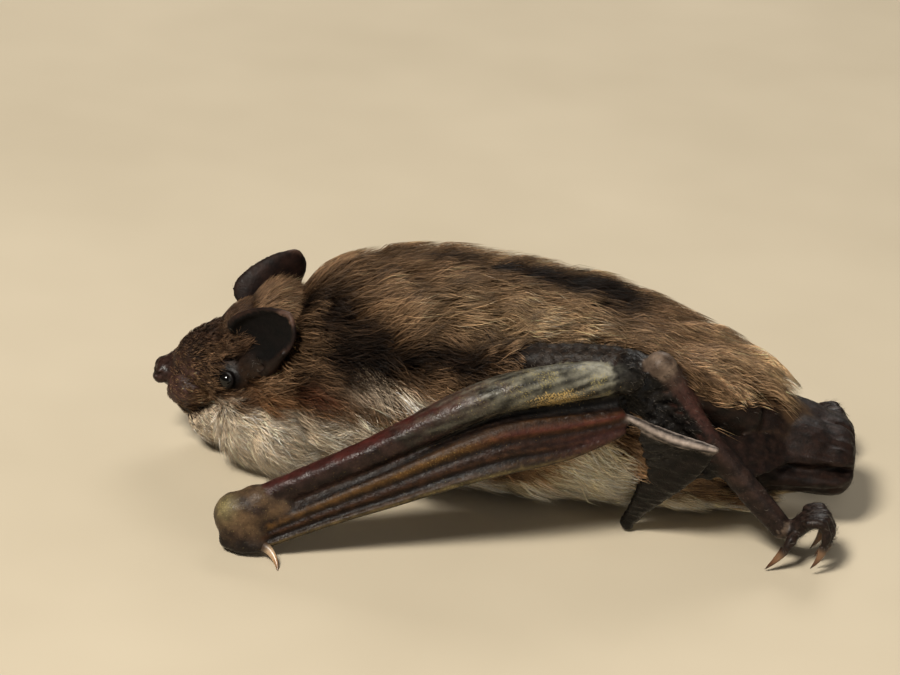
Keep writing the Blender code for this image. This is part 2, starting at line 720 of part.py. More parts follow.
def make_tail_membrane(name, pose, finish):
    """Half of the skin between the legs and the tail, folded under at the back, with a web to the shin."""
    places = [19.2 + (26.45 - 19.2) * k / 12 for k in range(13)]
    pouch = mesh_of_rings(name, [pouch_ring(pose, x) for x in places])
    membrane = new_object(name, pouch, finish)
    knee, ankle = placed(pose, pose["knee"]), placed(pose, pose["ankle"])
    side = pose["side"]
    rings = []
    steps = 5
    for k in range(steps + 1):
        t = k / steps
        shin = knee.lerp(ankle, 0.42 + 0.44 * t)
        body = placed(pose, (20.3 + 3.4 * t, 3.6, 8.0 - 3.6 * t))
        along = (shin - body).normalized()
        out = along.cross((ankle - knee).normalized()) * THINNEST * 0.001 * 1.2
        rings.append([body + out, shin + out, shin - out, body - out])
    web = helper(mesh_of_rings("web", rings))
    boolean(membrane, web, "UNION")
    bpy.data.objects.remove(web)
    return membrane


# --- the bat ------------------------------------------------------------------------------------


def make_side(where, pose, finishes, neck, head, tail):
    """Everything that comes in pairs. It returns the pieces that the trunk's coat makes room for."""
    skin, arm_skin = finishes["wing skin"], finishes["arm skin"]
    eye = make_eye(f"eye_{where}", pose, finishes["eye"], head)
    ear = make_ear(f"ear_{where}", pose, skin)
    tragus = make_tragus(f"tragus_{where}", pose, skin)
    cut_clear(ear, head, eye, triangles=200, voxel=0.2)
    cut_clear(tragus, head, ear, triangles=70, voxel=0.2)
    cut_clear(neck, ear, triangles=280, voxel=0.2)

    forearm = make_forearm(f"forearm_{where}", pose, arm_skin)
    wrist = make_wrist(f"wrist_{where}", pose, arm_skin)
    hand = make_hand(f"hand_{where}", pose, skin)
    upper_arm = make_upper_arm(f"upper_arm_{where}", pose, skin)
    finger = make_finger(f"finger_{where}", pose, skin)
    wing_tip = make_wing_tip(f"wing_tip_{where}", pose, skin)
    thumb = make_thumb(f"thumb_{where}", pose, skin)
    thumb_claw = make_thumb_claw(f"thumb_claw_{where}", pose, finishes["claw"])
    cut_clear(forearm, wrist, triangles=240)
    cut_clear(hand, wrist, thumb_claw, triangles=290)
    cut_clear(thumb, wrist, triangles=110)
    cut_clear(upper_arm, forearm, triangles=190)
    cut_clear(finger, hand, forearm, triangles=120, voxel=0.15)
    cut_clear(wing_tip, finger, triangles=150)

    shin = make_shin(f"shin_{where}", pose, skin)
    foot = make_foot(f"foot_{where}", pose, skin)
    for i in range(TOES):
        make_toe_claw(f"toe_claw_{where}_{i + 1}", pose, finishes["claw"], i)
    cut_clear(foot, shin, triangles=260)
    thigh = make_thigh(f"thigh_{where}", pose, finishes["brown fur"])
    cut_clear(thigh, shin, upper_arm, forearm, triangles=170)
    tail_membrane = make_tail_membrane(f"tail_membrane_{where}", pose, skin)
    cut_clear(tail_membrane, shin, foot, thigh, tail, triangles=380, voxel=0.15)
    side_membrane = make_side_membrane(f"side_membrane_{where}", pose, skin)
    lying_close = (forearm, upper_arm, shin, thigh, finger, wing_tip, hand)
    cut_clear(side_membrane, *lying_close, triangles=200, voxel=0.15)
    return upper_arm, thigh, shin, forearm, side_membrane, hand, wing_tip, tail_membrane


def main():
    for obj in list(bpy.data.objects):
        bpy.data.objects.remove(obj)
    finishes = {
        "brown fur": material("brown fur", (0.09, 0.05, 0.03), 0.75),
        "face fur": material("face fur", (0.05, 0.03, 0.02), 0.7),
        "wing skin": material("wing skin", (0.03, 0.018, 0.015), 0.45),
        "arm skin": material("arm skin", (0.07, 0.055, 0.035), 0.5),
        "eye": material("eye", (0.004, 0.004, 0.004), 0.05),
        "claw": material("claw", (0.25, 0.13, 0.06), 0.35),
    }
    trunk = make_trunk(finishes["brown fur"])
    neck = make_neck(finishes["brown fur"])
    head = make_head(finishes["face fur"])
    tail = make_tail(finishes["wing skin"])
    for where, pose in POSES.items():
        beside = make_side(where, pose, finishes, neck, head, tail)
        cut_clear(trunk, *beside, triangles=2000, voxel=0.2)
    cut_clear(trunk, tail, triangles=1400)
    simplify(head, 1400)


main()
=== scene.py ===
"""A small vesper bat at rest, life size, dressed over its CAD solids.

One skin replaces the solids of flesh and lies inside them by the depth of the coat. The coat is solid mesh:
tapered hairs that follow the lie of the fur. Eyes and claws are pieces of their own. Places and sizes below
are in millimetres, in the frame of the solids: the head points along -X and the left side faces -Y.
"""

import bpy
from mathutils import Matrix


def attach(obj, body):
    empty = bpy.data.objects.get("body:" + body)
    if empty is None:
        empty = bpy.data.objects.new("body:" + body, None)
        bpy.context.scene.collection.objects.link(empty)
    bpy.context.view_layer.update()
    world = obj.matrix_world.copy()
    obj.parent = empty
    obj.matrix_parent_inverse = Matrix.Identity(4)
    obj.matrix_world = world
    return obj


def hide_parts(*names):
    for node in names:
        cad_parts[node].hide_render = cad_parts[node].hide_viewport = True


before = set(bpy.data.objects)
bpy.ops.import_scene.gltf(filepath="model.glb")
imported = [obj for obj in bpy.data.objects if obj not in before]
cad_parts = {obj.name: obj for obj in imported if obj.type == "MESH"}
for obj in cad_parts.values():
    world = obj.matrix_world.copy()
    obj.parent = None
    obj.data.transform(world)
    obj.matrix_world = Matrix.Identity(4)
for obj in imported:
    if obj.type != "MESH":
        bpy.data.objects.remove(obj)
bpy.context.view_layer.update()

import math

import bmesh
import bpy
import numpy as np
from mathutils import Matrix, Vector
from mathutils.kdtree import KDTree

MM = 0.001
GENERATOR = np.random.default_rng(20)

# --- sizes and pose ---------------------------------------------------------------------------------

# Trunk and neck: place along X, half width, height of the back and height of the belly, to the coat's tips.
BODY = [
    (-17.5, 6.1, 13.7, 0.5),
    (-14.0, 7.9, 16.1, 0.0),
    (-10.5, 9.3, 17.3, -0.3),
    (-6.0, 10.2, 17.9, -0.3),
    (0.5, 10.4, 17.7, -0.3),
    (7.5, 9.8, 16.7, -0.3),
    (12.5, 8.9, 15.0, -0.2),
    (16.5, 7.6, 13.4, 0.1),
    (20.0, 5.9, 11.5, 0.7),
    (23.0, 3.7, 9.1, 1.4),
]
EYE_RADIUS = 0.66
EYE = (-21.1, 3.95, 7.65)
EAR_HALF_WIDTH, EAR_BOWL = 2.6, 1.9
GAP = 0.2

FOREARM_RADII = [(1.2, 1.15), (1.5, 1.4), (1.45, 1.3), (1.2, 1.15), (1.0, 1.05), (0.95, 1.1)]
UPPER_ARM_RADII = [(1.9, 1.5), (1.7, 1.45), (1.6, 1.5), (1.5, 1.5)]
HAND_HALF_WIDTHS = [1.5, 1.85, 1.85, 1.55, 1.25, 1.05]
HAND_HALF_THICK = 0.62
HAND_DROPS = [0.9, 0.75, 0.4, 0.1, 0.0, 0.0]
FINGER_RADII = [(0.3, 0.3), (0.42, 0.32), (0.52, 0.34), (0.44, 0.32), (0.3, 0.3)]
WING_TIP_RADII = [(0.35, 0.32), (1.0, 0.32), (1.45, 0.34), (1.35, 0.38), (0.85, 0.42), (0.55, 0.42)]
SHIN_RADII = [(0.96, 0.96), (0.88, 0.85), (0.75, 0.75), (0.82, 0.78), (0.82, 0.78), (0.7, 0.68)]
THIGH_RADII = [(2.2, 1.9), (1.9, 1.6), (1.3, 1.2), (0.9, 0.9)]
TAIL_RADII = [(0.9, 0.8), (0.8, 0.7), (0.6, 0.6), (0.5, 0.5), (0.42, 0.42), (0.35, 0.35)]
TAIL_PATH = [(22.2, 0, 6.6), (23.8, 0, 7.1), (25.2, 0, 6.4), (25.5, 0, 5.2), (24.6, 0, 3.9), (22.8, 0, 3.2)]
TOES = 5
TOE_SPACING, TOE_RADIUS = 0.78, 0.36
CLAW_LENGTH, CLAW_RADIUS = 1.6, 0.24

# The pose of each side, with Y outwards from the midline.
POSES = {
    "left": {
        "side": -1,
        "ear_base": (-19.7, 4.5, 7.6),
        "ear_tip": (-17.2, 6.3, 14.3),
        "shoulder": (-5.5, 7.2, 11.2),
        "elbow": (8.1, 9.8, 14.2),
        "wrist": (-18.4, 15.6, 3.1),
        "finger_joint": (15.5, 11.2, 9.9),
        "wing_tip": (9.9, 6.4, 0.9),
        "hip": (17.0, 3.6, 9.2),
        "knee": (10.9, 7.6, 14.4),
        "ankle": (21.3, 8.7, 2.8),
    },
    "right": {
        "side": 1,
        "ear_base": (-19.6, 4.6, 7.9),
        "ear_tip": (-18.0, 6.6, 14.4),
        "shoulder": (-5.5, 7.2, 10.8),
        "elbow": (9.4, 11.4, 10.2),
        "wrist": (-18.4, 15.6, 3.1),
        "finger_joint": (16.6, 12.0, 6.7),
        "wing_tip": (10.9, 8.2, 0.9),
        "hip": (17.0, 3.6, 8.4),
        "knee": (12.8, 9.4, 9.6),
        "ankle": (22.6, 8.7, 2.8),
    },
}

# --- small tools ------------------------------------------------------------------------------------


def row(*numbers):
    return np.array(numbers, float)


def on_side(side, step, origin=0.0):
    """A place on one side of the body, from a step with Y outwards, counted from an origin."""
    x, y, z = step
    return origin + row(x, side * y, z)


def place_of(pose, name):
    return on_side(pose["side"], pose[name])


def height_of(line, x):
    """The height at x of a line through places along X and heights."""
    return np.interp(x, [r[0] for r in line], [r[1] for r in line])


def unit(vectors):
    vectors = np.asarray(vectors, float)
    return vectors / np.maximum(np.linalg.norm(vectors, axis=-1, keepdims=True), 1e-9)


def along(values, t):
    """Rows at each t, from 0 to 1, on a smooth curve through evenly spaced rows or numbers."""
    rows = np.array(values, float)
    rows = rows.reshape(len(rows), -1)
    where = np.clip(np.atleast_1d(t), 0, 1) * (len(rows) - 1)
    i = np.minimum(where.astype(int), len(rows) - 2)
    u = (where - i)[:, None]
    a, b, c, d = (rows[np.clip(k, 0, len(rows) - 1)] for k in (i - 1, i, i + 1, i + 2))
    found = b + 0.5 * u * (c - a + u * (2 * a - 5 * b + 4 * c - d + u * (3 * (b - c) + d - a)))
    return found if found.shape[1] > 1 else found[:, 0]


def body_sizes(x):
    """Half width, back height and belly height of the coat at each x."""
    xs = np.array([r[0] for r in BODY])
    x = np.atleast_1d(x)
    i = np.clip(np.searchsorted(xs, x, side="right") - 1, 0, len(xs) - 2)
    t = (i + (x - xs[i]) / (xs[i + 1] - xs[i])) / (len(xs) - 1)
    return along([r[1:] for r in BODY], t)


def smooth_step(x, low, high):
    t = np.clip((x - low) / (high - low), 0, 1)
    return t * t * (3 - 2 * t)


def bell(x, middle, width):
    return np.exp(-(((x - middle) / width) ** 2))


def near(points, middle, *radii):
    """1 at a place, falling smoothly to 0 over an ellipsoid of those radii."""
    radii = radii if len(radii) == 3 else radii * 3
    return np.exp(-(((points - row(*middle)) / row(*radii)) ** 2).sum(-1))


def waves(points, scale, seed, layers=2):
    """Smooth noise from -1 to 1 at points: sums of sine waves in turned directions, scale mm long."""
    rng = np.random.default_rng(seed)
    total = np.zeros(len(points))
    for layer in range(layers):
        for _ in range(5):
            way = unit(rng.normal(size=3))
            direction = way * 2 * math.pi / (scale * rng.uniform(0.75, 1.35)) * 1.9**layer
            total += np.sin(points @ direction + rng.uniform(0, 6.3)) * 0.55**layer
    return np.clip(total / 3.2, -1, 1)


def to_path(points, path):
    """The distance from each point to a line of points, and how far along the line it is, from 0 to 1."""
    path = np.asarray(path, float)
    best, share = np.full(len(points), np.inf), np.zeros(len(points))
    for k, (a, b) in enumerate(zip(path, path[1:])):
        way = b - a
        t = np.clip(((points - a) @ way) / max(way @ way, 1e-12), 0, 1)
        far = np.linalg.norm(points - a - t[:, None] * way, axis=1)
        closer = far < best
        best[closer] = far[closer]
        share[closer] = (k + t[closer]) / (len(path) - 1)
    return best, share


# --- the forms under the skin -----------------------------------------------------------------------

FORMS = []  # each: name, points, faces, and for each point how far along the form it is and how far round


def add_form(name, points, faces, t, u):
    FORMS.append((name, np.asarray(points, float), faces, np.asarray(t, float), np.asarray(u, float)))


def ring_faces(count, sides):
    """The faces of a row of rings, band by band, and the two fans to the points that close its ends."""
    k = np.arange(sides)
    after = (k + 1) % sides
    starts = sides * np.arange(count)
    bands = [np.stack([a + k, a + after, b + after, b + k], 1) for a, b in zip(starts, starts[1:])]
    last, tip = starts[-1], np.full(sides, count * sides)
    return bands, [np.stack([after, k, tip], 1), np.stack([last + k, last + after, tip + 1], 1)]


def add_rings(name, rings, ts, tips=(None, None)):
    """A closed form through rings of points, with a fan at each end."""
    rings = np.asarray(rings, float)
    count, sides = rings.shape[:2]
    ends = [rings[k].mean(0) if tip is None else tip for k, tip in zip((0, -1), tips)]
    bands, fans = ring_faces(count, sides)
    faces = [face for group in bands + fans for face in group.tolist()]
    t = np.concatenate([np.repeat(ts, sides), [ts[0], ts[-1]]])
    u = np.concatenate([np.tile(np.arange(sides) / sides, count), [0, 0]])
    add_form(name, np.vstack([rings.reshape(-1, 3), ends]), faces, t, u)


def path_frame(points, up):
    ahead = unit(np.gradient(points, axis=0))
    sideways = unit(np.cross(ahead, row(*up)))
    return ahead, sideways, np.cross(sideways, ahead)


def add_tube(name, path, radii, steps=60, sides=26, up=(0, 0, 1), profile=None):
    """A rounded limb along a path. profile(t, turn) scales its radius, for knobs and tendons."""
    t = np.linspace(0, 1, steps + 1)
    centres, sizes = along(path, t), along(radii, t)
    ahead, sideways, upward = path_frame(centres, up)
    domes = 6
    turns = np.pi / 2 * np.arange(1, domes + 1) / (domes + 0.6)
    order = [(0, -math.sin(a), math.cos(a)) for a in turns[::-1]]
    order += [(i, 0, 1) for i in range(steps + 1)]
    order += [(steps, math.sin(a), math.cos(a)) for a in turns]
    turn = 2 * np.pi * np.arange(sides) / sides
    rings, ts = [], []
    for i, push, share in order:
        scale = share * (profile(t[i], turn) if profile else 1.0)
        centre = centres[i] + ahead[i] * push * sizes[i].min()
        flat, high = np.cos(turn) * sizes[i][0] * scale, np.sin(turn) * sizes[i][1] * scale
        rings.append(centre + flat[:, None] * sideways[i] + high[:, None] * upward[i])
        ts.append(t[i])
    tips = [centres[k] + ahead[k] * way * sizes[k].min() for k, way in ((0, -1), (steps, 1))]
    add_rings(name, rings, np.array(ts), tips)


def grid_normals(places):
    return unit(np.cross(np.gradient(places, axis=0), np.gradient(places, axis=1)))


def add_shell(name, places, offset, t, u):
    """A closed leaf between a grid of places pushed by offset and the same grid pushed the other way."""
    rows, columns = places.shape[0] - 1, places.shape[1] - 1
    size = columns + 1
    count = (rows + 1) * size
    i, j = np.meshgrid(np.arange(rows), np.arange(columns), indexing="ij")
    k = (i * size + j).ravel()
    quads = np.stack([k, k + 1, k + size + 1, k + size], 1)
    rim = [r * size for r in range(rows)] + [rows * size + c for c in range(columns)]
    rim += [r * size + columns for r in range(rows, 0, -1)] + list(range(columns, 0, -1))
    faces = quads.tolist() + (quads + count).tolist()
    faces += [[a, b, b + count, a + count] for a, b in zip(rim, rim[1:] + rim[:1])]
    points = np.vstack([(places + offset).reshape(-1, 3), (places - offset).reshape(-1, 3)])
    add_form(name, points, faces, t, u)


def add_blob(name, centre, radii, lean=0.0):
    """An ellipsoid, leaning nose down by so many degrees."""
    bm = bmesh.new()
    bmesh.ops.create_icosphere(bm, subdivisions=4, radius=1)
    points = np.array([v.co for v in bm.verts]) * row(*radii)
    faces = [[v.index for v in f.verts] for f in bm.faces]
    bm.free()
    turn = np.array(Matrix.Rotation(math.radians(-lean), 3, "Y"))
    add_form(name, points @ turn.T + row(*centre), faces, np.zeros(len(points)), np.zeros(len(points)))


# How deep the coat of the trunk is: on the back, on the flank and under the belly.
BACK_DEPTH, FLANK_DEPTH, BELLY_DEPTH = 1.9, 1.7, 1.0


def thinning(x):
    """What share of the trunk's coat is left at x, towards the rump and towards the neck."""
    return 1 - 0.55 * smooth_step(x, 15, 23) - 0.25 * smooth_step(-x, 12, 17)


def add_body(x_from=-17.0, x_to=23.0, steps=150, sides=96):
    """The body under its coat, fuller above than below."""
    xs = np.linspace(x_from, x_to, steps)
    sizes = body_sizes(xs)
    turn = 2 * np.pi * (np.arange(sides) + 0.5) / sides
    up, out = np.sin(turn), np.cos(turn)
    rings = []
    for x, (half_width, top, bottom) in zip(xs, sizes):
        thin = thinning(x)
        half_width = half_width - FLANK_DEPTH * thin
        top, bottom = top - BACK_DEPTH * thin, max(bottom, 0.0) + BELLY_DEPTH * thin
        middle, half_height = (top + bottom) / 2, (top - bottom) / 2
        power = np.where(up > 0, 0.94, 1.15)
        y = np.sign(out) * abs(out) ** power * half_width
        z = middle + np.sign(up) * abs(up) ** power * half_height
        rings.append(np.stack([np.full(sides, x), y, z], 1))
    add_rings("trunk", rings, (xs - x_from) / (x_to - x_from))


# The head's forms: centre, radii to the coat's tips, lean in degrees and how deep the coat over them is.
HEAD_FORMS = [
    ((-19.4, 0, 8.2), (4.3, 4.5, 4.3), 0, 0.8),  # braincase
    ((-17.9, 0, 9.4), (3.7, 5.0, 4.25), 0, 0.9),  # nape
    ((-22.2, 0, 7.1), (4.3, 3.1, 3.3), 28, 0.3),  # forehead and muzzle
    ((-25.0, 0, 6.15), (1.95, 1.5, 1.5), 8, 0.08),  # bridge of the nose
    ((-26.3, 0, 6.1), (0.85, 0.85, 0.95), 0, 0.0),  # nose pad
    ((-22.9, 0, 3.5), (2.9, 2.2, 1.5), -18, 0.25),  # lower jaw
    ((-20.4, 0, 3.6), (3.4, 3.6, 3.2), 0, 0.9),  # throat
    ((-21.9, 0, 3.2), (3.0, 3.0, 2.8), 0, 0.5),  # under the chin
    ((-16.6, 0, 4.6), (3.4, 5.6, 4.4), 0, 1.0),  # where the throat meets the chest
]
PAIRED_HEAD_FORMS = [
    ((-24.1, 1.55, 5.5), (1.9, 1.45, 1.5), 12, 0.05),  # glands on the muzzle
    ((-22.0, 2.2, 7.4), (2.2, 1.5, 1.6), 20, 0.1),  # brow over the eye
    ((-21.1, 3.0, 7.3), (1.9, 1.3, 1.7), 15, 0.0),  # round the eye
    ((-18.9, 3.2, 4.2), (3.4, 2.8, 3.7), 10, 0.9),  # cheek
    ((-18.2, 2.7, 8.2), (2.9, 2.2, 3.0), 0, 0.4),  # base of the ear
    ((-17.4, 3.5, 3.8), (3.5, 3.2, 3.0), 0, 0.9),  # side of the throat
    ((-17.1, 4.1, 7.0), (2.5, 2.1, 2.5), 0, 0.8),  # side of the neck
    ((-26.45, 0.62, 6.0), (0.68, 0.66, 0.8), 0, 0.0),  # nostril bump
]


def add_head():
    forms = list(HEAD_FORMS)
    for centre, *form in PAIRED_HEAD_FORMS:
        forms += [(on_side(side, centre), *form) for side in (-1, 1)]
    for centre, radii, lean, coat in forms:
        add_blob("head", centre, [r - coat for r in radii], lean)


# The ear's bowl opens from this share of the way up its axis, over this much of it.
EAR_START, EAR_CUP = 0.3, 0.26
EAR_SWEEP = 2.6  # how far the base of the ear leans forward of its tip, in millimetres
EAR_ROWS, EAR_COLUMNS = 60, 56


def ear_opening(side):
    """The way that an ear faces."""
    return row(-0.5, side * 0.85, 0.1)


def add_ear(pose):
    """A leaf rolled into a bowl that opens outwards and forwards, thick at its root and at its rim."""
    base, tip = place_of(pose, "ear_base"), place_of(pose, "ear_tip")
    side = pose["side"]
    axis = tip - base
    straight = unit(axis)
    opening = ear_opening(side)
    opening = unit(opening - straight * (opening @ straight))
    across = np.cross(straight, opening)
    s = np.linspace(EAR_START, 1, EAR_ROWS + 1)[:, None]
    turn = (np.pi / 2 * np.linspace(-1, 1, EAR_COLUMNS + 1))[None, :]
    opened = np.sqrt(1 - np.clip(1 - (s - EAR_START) / EAR_CUP, 0, 1) ** 2)
    round_tip = np.sqrt(np.maximum(1 - s**3.2, 0.0))
    swell = (0.55 + 0.45 * np.sin(np.pi * np.minimum(s * 1.35, 1) / 2)) * round_tip
    half_width = EAR_HALF_WIDTH * np.maximum(swell * (0.5 + 0.5 * opened), 0.08)
    bowl = EAR_BOWL * (1 - 0.75 * s) * np.maximum(swell, 0.1)
    curl = 0.35 * smooth_step(abs(np.sin(turn)), 0.75, 1.0) * (1 - s)
    forward = -bowl * (1 - opened * (1 - np.cos(turn))) - 0.9 * s * s + curl * opened
    rear = smooth_step(np.sin(turn) * -side, 0.3, 0.9)
    wrinkle = 0.11 * np.sin(s * 40 + turn * 2) * rear * (1 - s)
    places = base + axis * (s - 0.06 * s * (1 - np.cos(turn)))[..., None]
    places = places + across * (np.sin(turn) * half_width - side * EAR_SWEEP * (s - 0.98))[..., None]
    places = places + opening * (forward + wrinkle)[..., None]
    thick = 0.2 + 0.16 * (1 - s) ** 2 + 0.07 * smooth_step(abs(np.sin(turn)), 0.86, 1.0)
    thick = np.broadcast_to(thick, forward.shape)[..., None]
    normal = grid_normals(places)
    normal *= np.sign((normal * opening).sum(-1).mean())
    t = np.tile(np.broadcast_to(s, forward.shape).ravel(), 2)
    u = np.repeat([1.0, 0.0], forward.size)  # 1 on the inner face of the ear
    add_shell("ear", places, normal * thick, t, u)


def forearm_path(pose):
    elbow, wrist = place_of(pose, "elbow"), place_of(pose, "wrist")
    near_bow, far_bow = row(0, pose["side"] * 0.3, 2.2), row(0, pose["side"] * 0.35, 1.0)
    near_elbow = elbow + (wrist - elbow) * 0.33 + near_bow
    near_wrist = elbow + (wrist - elbow) * 0.67 + far_bow
    return [elbow, near_elbow, near_wrist, wrist]


def hand_offset(pose):
    return unit(row(-0.12, pose["side"] * 0.42, -0.9))


# Ridges along the folded hand: place across it at the knuckles and at the wrist, half width and height.
HAND_RIDGES = [
    (-1.60, -0.85, 0.12, 0.65),
    (-1.20, -0.33, 0.13, 0.80),
    (-0.68, -0.28, 0.19, 1.00),
    (-0.20, 0.24, 0.11, 0.50),
    (0.18, 0.30, 0.10, 0.45),
    (0.56, 0.82, 0.10, 0.50),
    (0.92, 0.92, 0.11, 0.85),
]


def ridge_place(ridge, t):
    """Where a ridge lies across the hand at t from the knuckles."""
    at_knuckles, at_wrist = ridge[:2]
    return at_knuckles + (at_wrist - at_knuckles) * np.clip(t * 1.05, 0, 1) ** 0.85


def hand_profile(across, t):
    """Half the hand's thickness across its width: pleats of skin between long fine bones."""
    ridges = 0
    for ridge in HAND_RIDGES:
        _, _, half_width, height = ridge
        ridges = ridges + height * bell(across, ridge_place(ridge, t), half_width * (1 + 0.7 * t))
    return 0.26 + 0.66 * np.clip(ridges, 0, 1) + 0.08 * np.cos((across - 0.3) * (24 + 4 * t))


def hand_section(pose, t):
    """The hand's middle, its directions across and outwards, and its half width, at t from the knuckles."""
    path = forearm_path(pose)
    ahead = unit(along(path, min(t + 0.05, 1)) - along(path, max(t - 0.05, 0)))[0]
    offset = hand_offset(pose)
    offset = unit(offset - ahead * (offset @ ahead))
    outwards = np.cross(ahead, offset)
    half_width = along(HAND_HALF_WIDTHS, t)[0]
    reach = along(FOREARM_RADII, t)[0][1] + GAP + along(HAND_DROPS, t)[0] + half_width
    return along(path, t)[0] + offset * reach, offset, outwards, half_width


# Towards the knuckles the hand's lower edge slopes up by this share of its width, over this much of it.
HAND_TAPER, HAND_TAPER_LENGTH = 0.75, 0.42
HAND_START, HAND_END = -0.012, 0.97  # where the hand's sections start and end along the forearm's line
HAND_STEPS, HAND_COLUMNS = 120, 110


def add_hand(pose):
    """The long bones of the folded hand and the pleats of skin between them, as one flat form."""
    across = np.linspace(-1, 1, HAND_COLUMNS + 1)
    rings, ts = [], np.linspace(HAND_START, HAND_END, HAND_STEPS)
    for t in ts:
        centre, offset, outwards, half_width = hand_section(pose, t)
        thick = HAND_HALF_THICK * hand_profile(across, t) * (1 - 0.4 * across**4)
        ease = 0.55 + 0.45 * smooth_step(t, HAND_START, 0.04)
        slope = 1 - HAND_TAPER * max(0, 1 - max(t, 0) / HAND_TAPER_LENGTH) ** 2
        flat = np.where(across > 0, across * slope, across) * half_width
        front = centre + offset * flat[:, None] + outwards * (thick * ease)[:, None]
        back = centre + offset * flat[:, None] - outwards * (thick * ease)[:, None]
        rings.append(np.vstack([front, back[::-1]]))
    add_rings("hand", rings, ts)
    name, points, faces, t, _ = FORMS.pop()
    both = np.tile(np.concatenate([across, across[::-1]]), HAND_STEPS)
    add_form(name, points, faces, t, np.concatenate([both, [0, 0]]) * 0.5 + 0.5)


def add_wing_fold(pose):
    """The fold of wing skin that shows between the forearm and the hand, painted near black: partly dark
    skin and partly painted shade of the gap.
    """
    ts = np.linspace(0.01, 0.93, 70)
    across = np.linspace(0, 1, 13)
    rings = []
    for t in ts:
        centre, offset, outwards, half_width = hand_section(pose, t)
        arm = along(forearm_path(pose), t)[0]
        near_arm = arm - outwards * 0.15
        near_hand = centre - offset * half_width * 0.75 - outwards * 0.1
        sag = 0.45 * np.sin(np.pi * across) + 0.1 * np.sin(across * 19 + t * 7)
        line = near_arm + (near_hand - near_arm) * across[:, None] - outwards * sag[:, None]
        rings.append(np.vstack([line + outwards * 0.17, (line - outwards * 0.17)[::-1]]))
    add_rings("wing_fold", rings, ts)


# The bones of the wrist, from its middle with Y outwards, with their radii.
WRIST_KNOBS = [
    ((1.3, -0.1, 0.6), (1.6, 1.3, 1.35)),
    ((2.2, -0.1, 0.3), (2.0, 1.05, 1.2)),
    ((-0.15, 0.15, -0.5), (1.75, 1.5, 1.85)),
    ((0.15, 0.4, -1.4), (1.6, 1.45, 1.6)),
    ((0.8, 0.2, -0.3), (2.0, 1.4, 1.8)),
    ((0.9, 0.6, -1.5), (1.6, 1.1, 1.2)),
]
THUMB_STEPS = [(-0.7, 1.1, -2.2), (0.6, 1.5, -2.3), (1.8, 1.6, -2.15)]  # from the wrist, with Y outwards
THUMB_RADII = [(0.6, 0.62), (0.56, 0.6), (0.38, 0.42)]


def add_arm(pose):
    """Forearm, elbow, upper arm with the skin behind it, wrist and thumb."""
    side = pose["side"]
    wrist, elbow, shoulder = (place_of(pose, k) for k in ("wrist", "elbow", "shoulder"))
    path = forearm_path(pose)

    def sinews(t, turn):
        return 1 + 0.035 * np.sin(turn * 3 + 1.0) * smooth_step(t, 0.2, 0.8)

    add_tube("forearm", path, FOREARM_RADII, steps=120, sides=40, profile=sinews)
    add_blob("elbow", elbow + row(0.35, 0, -0.05), (1.3, 1.15, 1.25))
    end = shoulder + (elbow - shoulder) * 0.95 + row(0, -side * 0.7, 0.9)
    path = [shoulder, (shoulder + end) / 2 + row(0, 0, 0.7), end]
    add_tube("upper_arm", path, [(a - 0.25, b - 0.25) for a, b in UPPER_ARM_RADII])
    add_blob("side_membrane", end + row(0.5, side * 0.3, -0.5), (1.5, 1.1, 1.3))
    between = (elbow + place_of(pose, "knee")) / 2
    add_blob("side_membrane", between + row(-1.7, -side * 2.1, -0.9), (3.2, 2.0, 1.45))
    for step, radii in WRIST_KNOBS:
        add_blob("wrist", on_side(side, step, wrist), radii)
    add_tube("thumb", [on_side(side, step, wrist) for step in THUMB_STEPS], THUMB_RADII, sides=24)


def add_finger(pose):
    """The next bones of the folded fingers, side by side, up to the tight bend by the shin."""
    side = pose["side"]
    start = hand_section(pose, 0.0)[0] - hand_offset(pose) * 0.8
    end = place_of(pose, "finger_joint")
    path = [start, (start + end) / 2 - row(0, 0, 0.35), end]
    add_tube("finger", path, FINGER_RADII, steps=90, sides=60, up=(0, side, 0.3))


def add_wing_tip(pose):
    """The folded end of the wing: a fan of skin between a straight front bone and a thicker lower edge."""
    side = pose["side"]
    start, end = place_of(pose, "finger_joint"), place_of(pose, "wing_tip")
    start = start + (end - start) * 0.05
    middle = (start + end) / 2 + row(-0.5, side * 0.3, 0.6)

    def ribs(t, turn):
        edge = 0.06 * bell(np.cos(turn), -1, 0.4)
        pleats = 0.14 * np.cos(turn * 5 + 0.8) * smooth_step(t, 0.1, 0.35)
        return 0.98 + edge + pleats * np.sin(turn) ** 4

    path, up = [start, middle, end], (0, side, 0.15)
    add_tube("wing_tip", path, WING_TIP_RADII, steps=90, sides=72, up=up, profile=ribs)
    add_blob("wing_tip", end + row(-0.05, side * 0.1, -0.1), (0.6, 0.5, 0.75), 20)


def add_side_membrane(pose):
    """The wing skin gathered between the elbow, the knee and the shin."""
    side = pose["side"]
    elbow, knee, ankle, tip = (place_of(pose, k) for k in ("elbow", "knee", "ankle", "wing_tip"))
    corners = [
        elbow + row(-2.6, side * 0.1, 0.5),
        knee + row(-0.2, side * 0.6, -0.4),
        knee + (ankle - knee) * 0.66 + row(0, side * 0.2, -0.2),
        tip + row(0.9, side * 1.2, 3.9),
    ]
    add_sheet("side_membrane", corners, side, half_thick=0.2, pleats=(0.32, 4.5, 0))
    joint, knuckles = place_of(pose, "finger_joint"), hand_section(pose, 0.0)[0]
    corners = [
        knuckles + (joint - knuckles) * 0.12 + row(0, -side * 0.35, -0.2),
        joint + row(0, -side * 0.3, 0),
        joint + (tip - joint) * 0.3 + row(0, -side * 0.3, 0),
        joint + (tip - joint) * 0.66 + row(-0.3, -side * 0.25, 0),
    ]
    add_sheet("side_membrane", corners, side, half_thick=0.18, pleats=(0.12, 2.5, 0))


SHEET_STEPS = 60


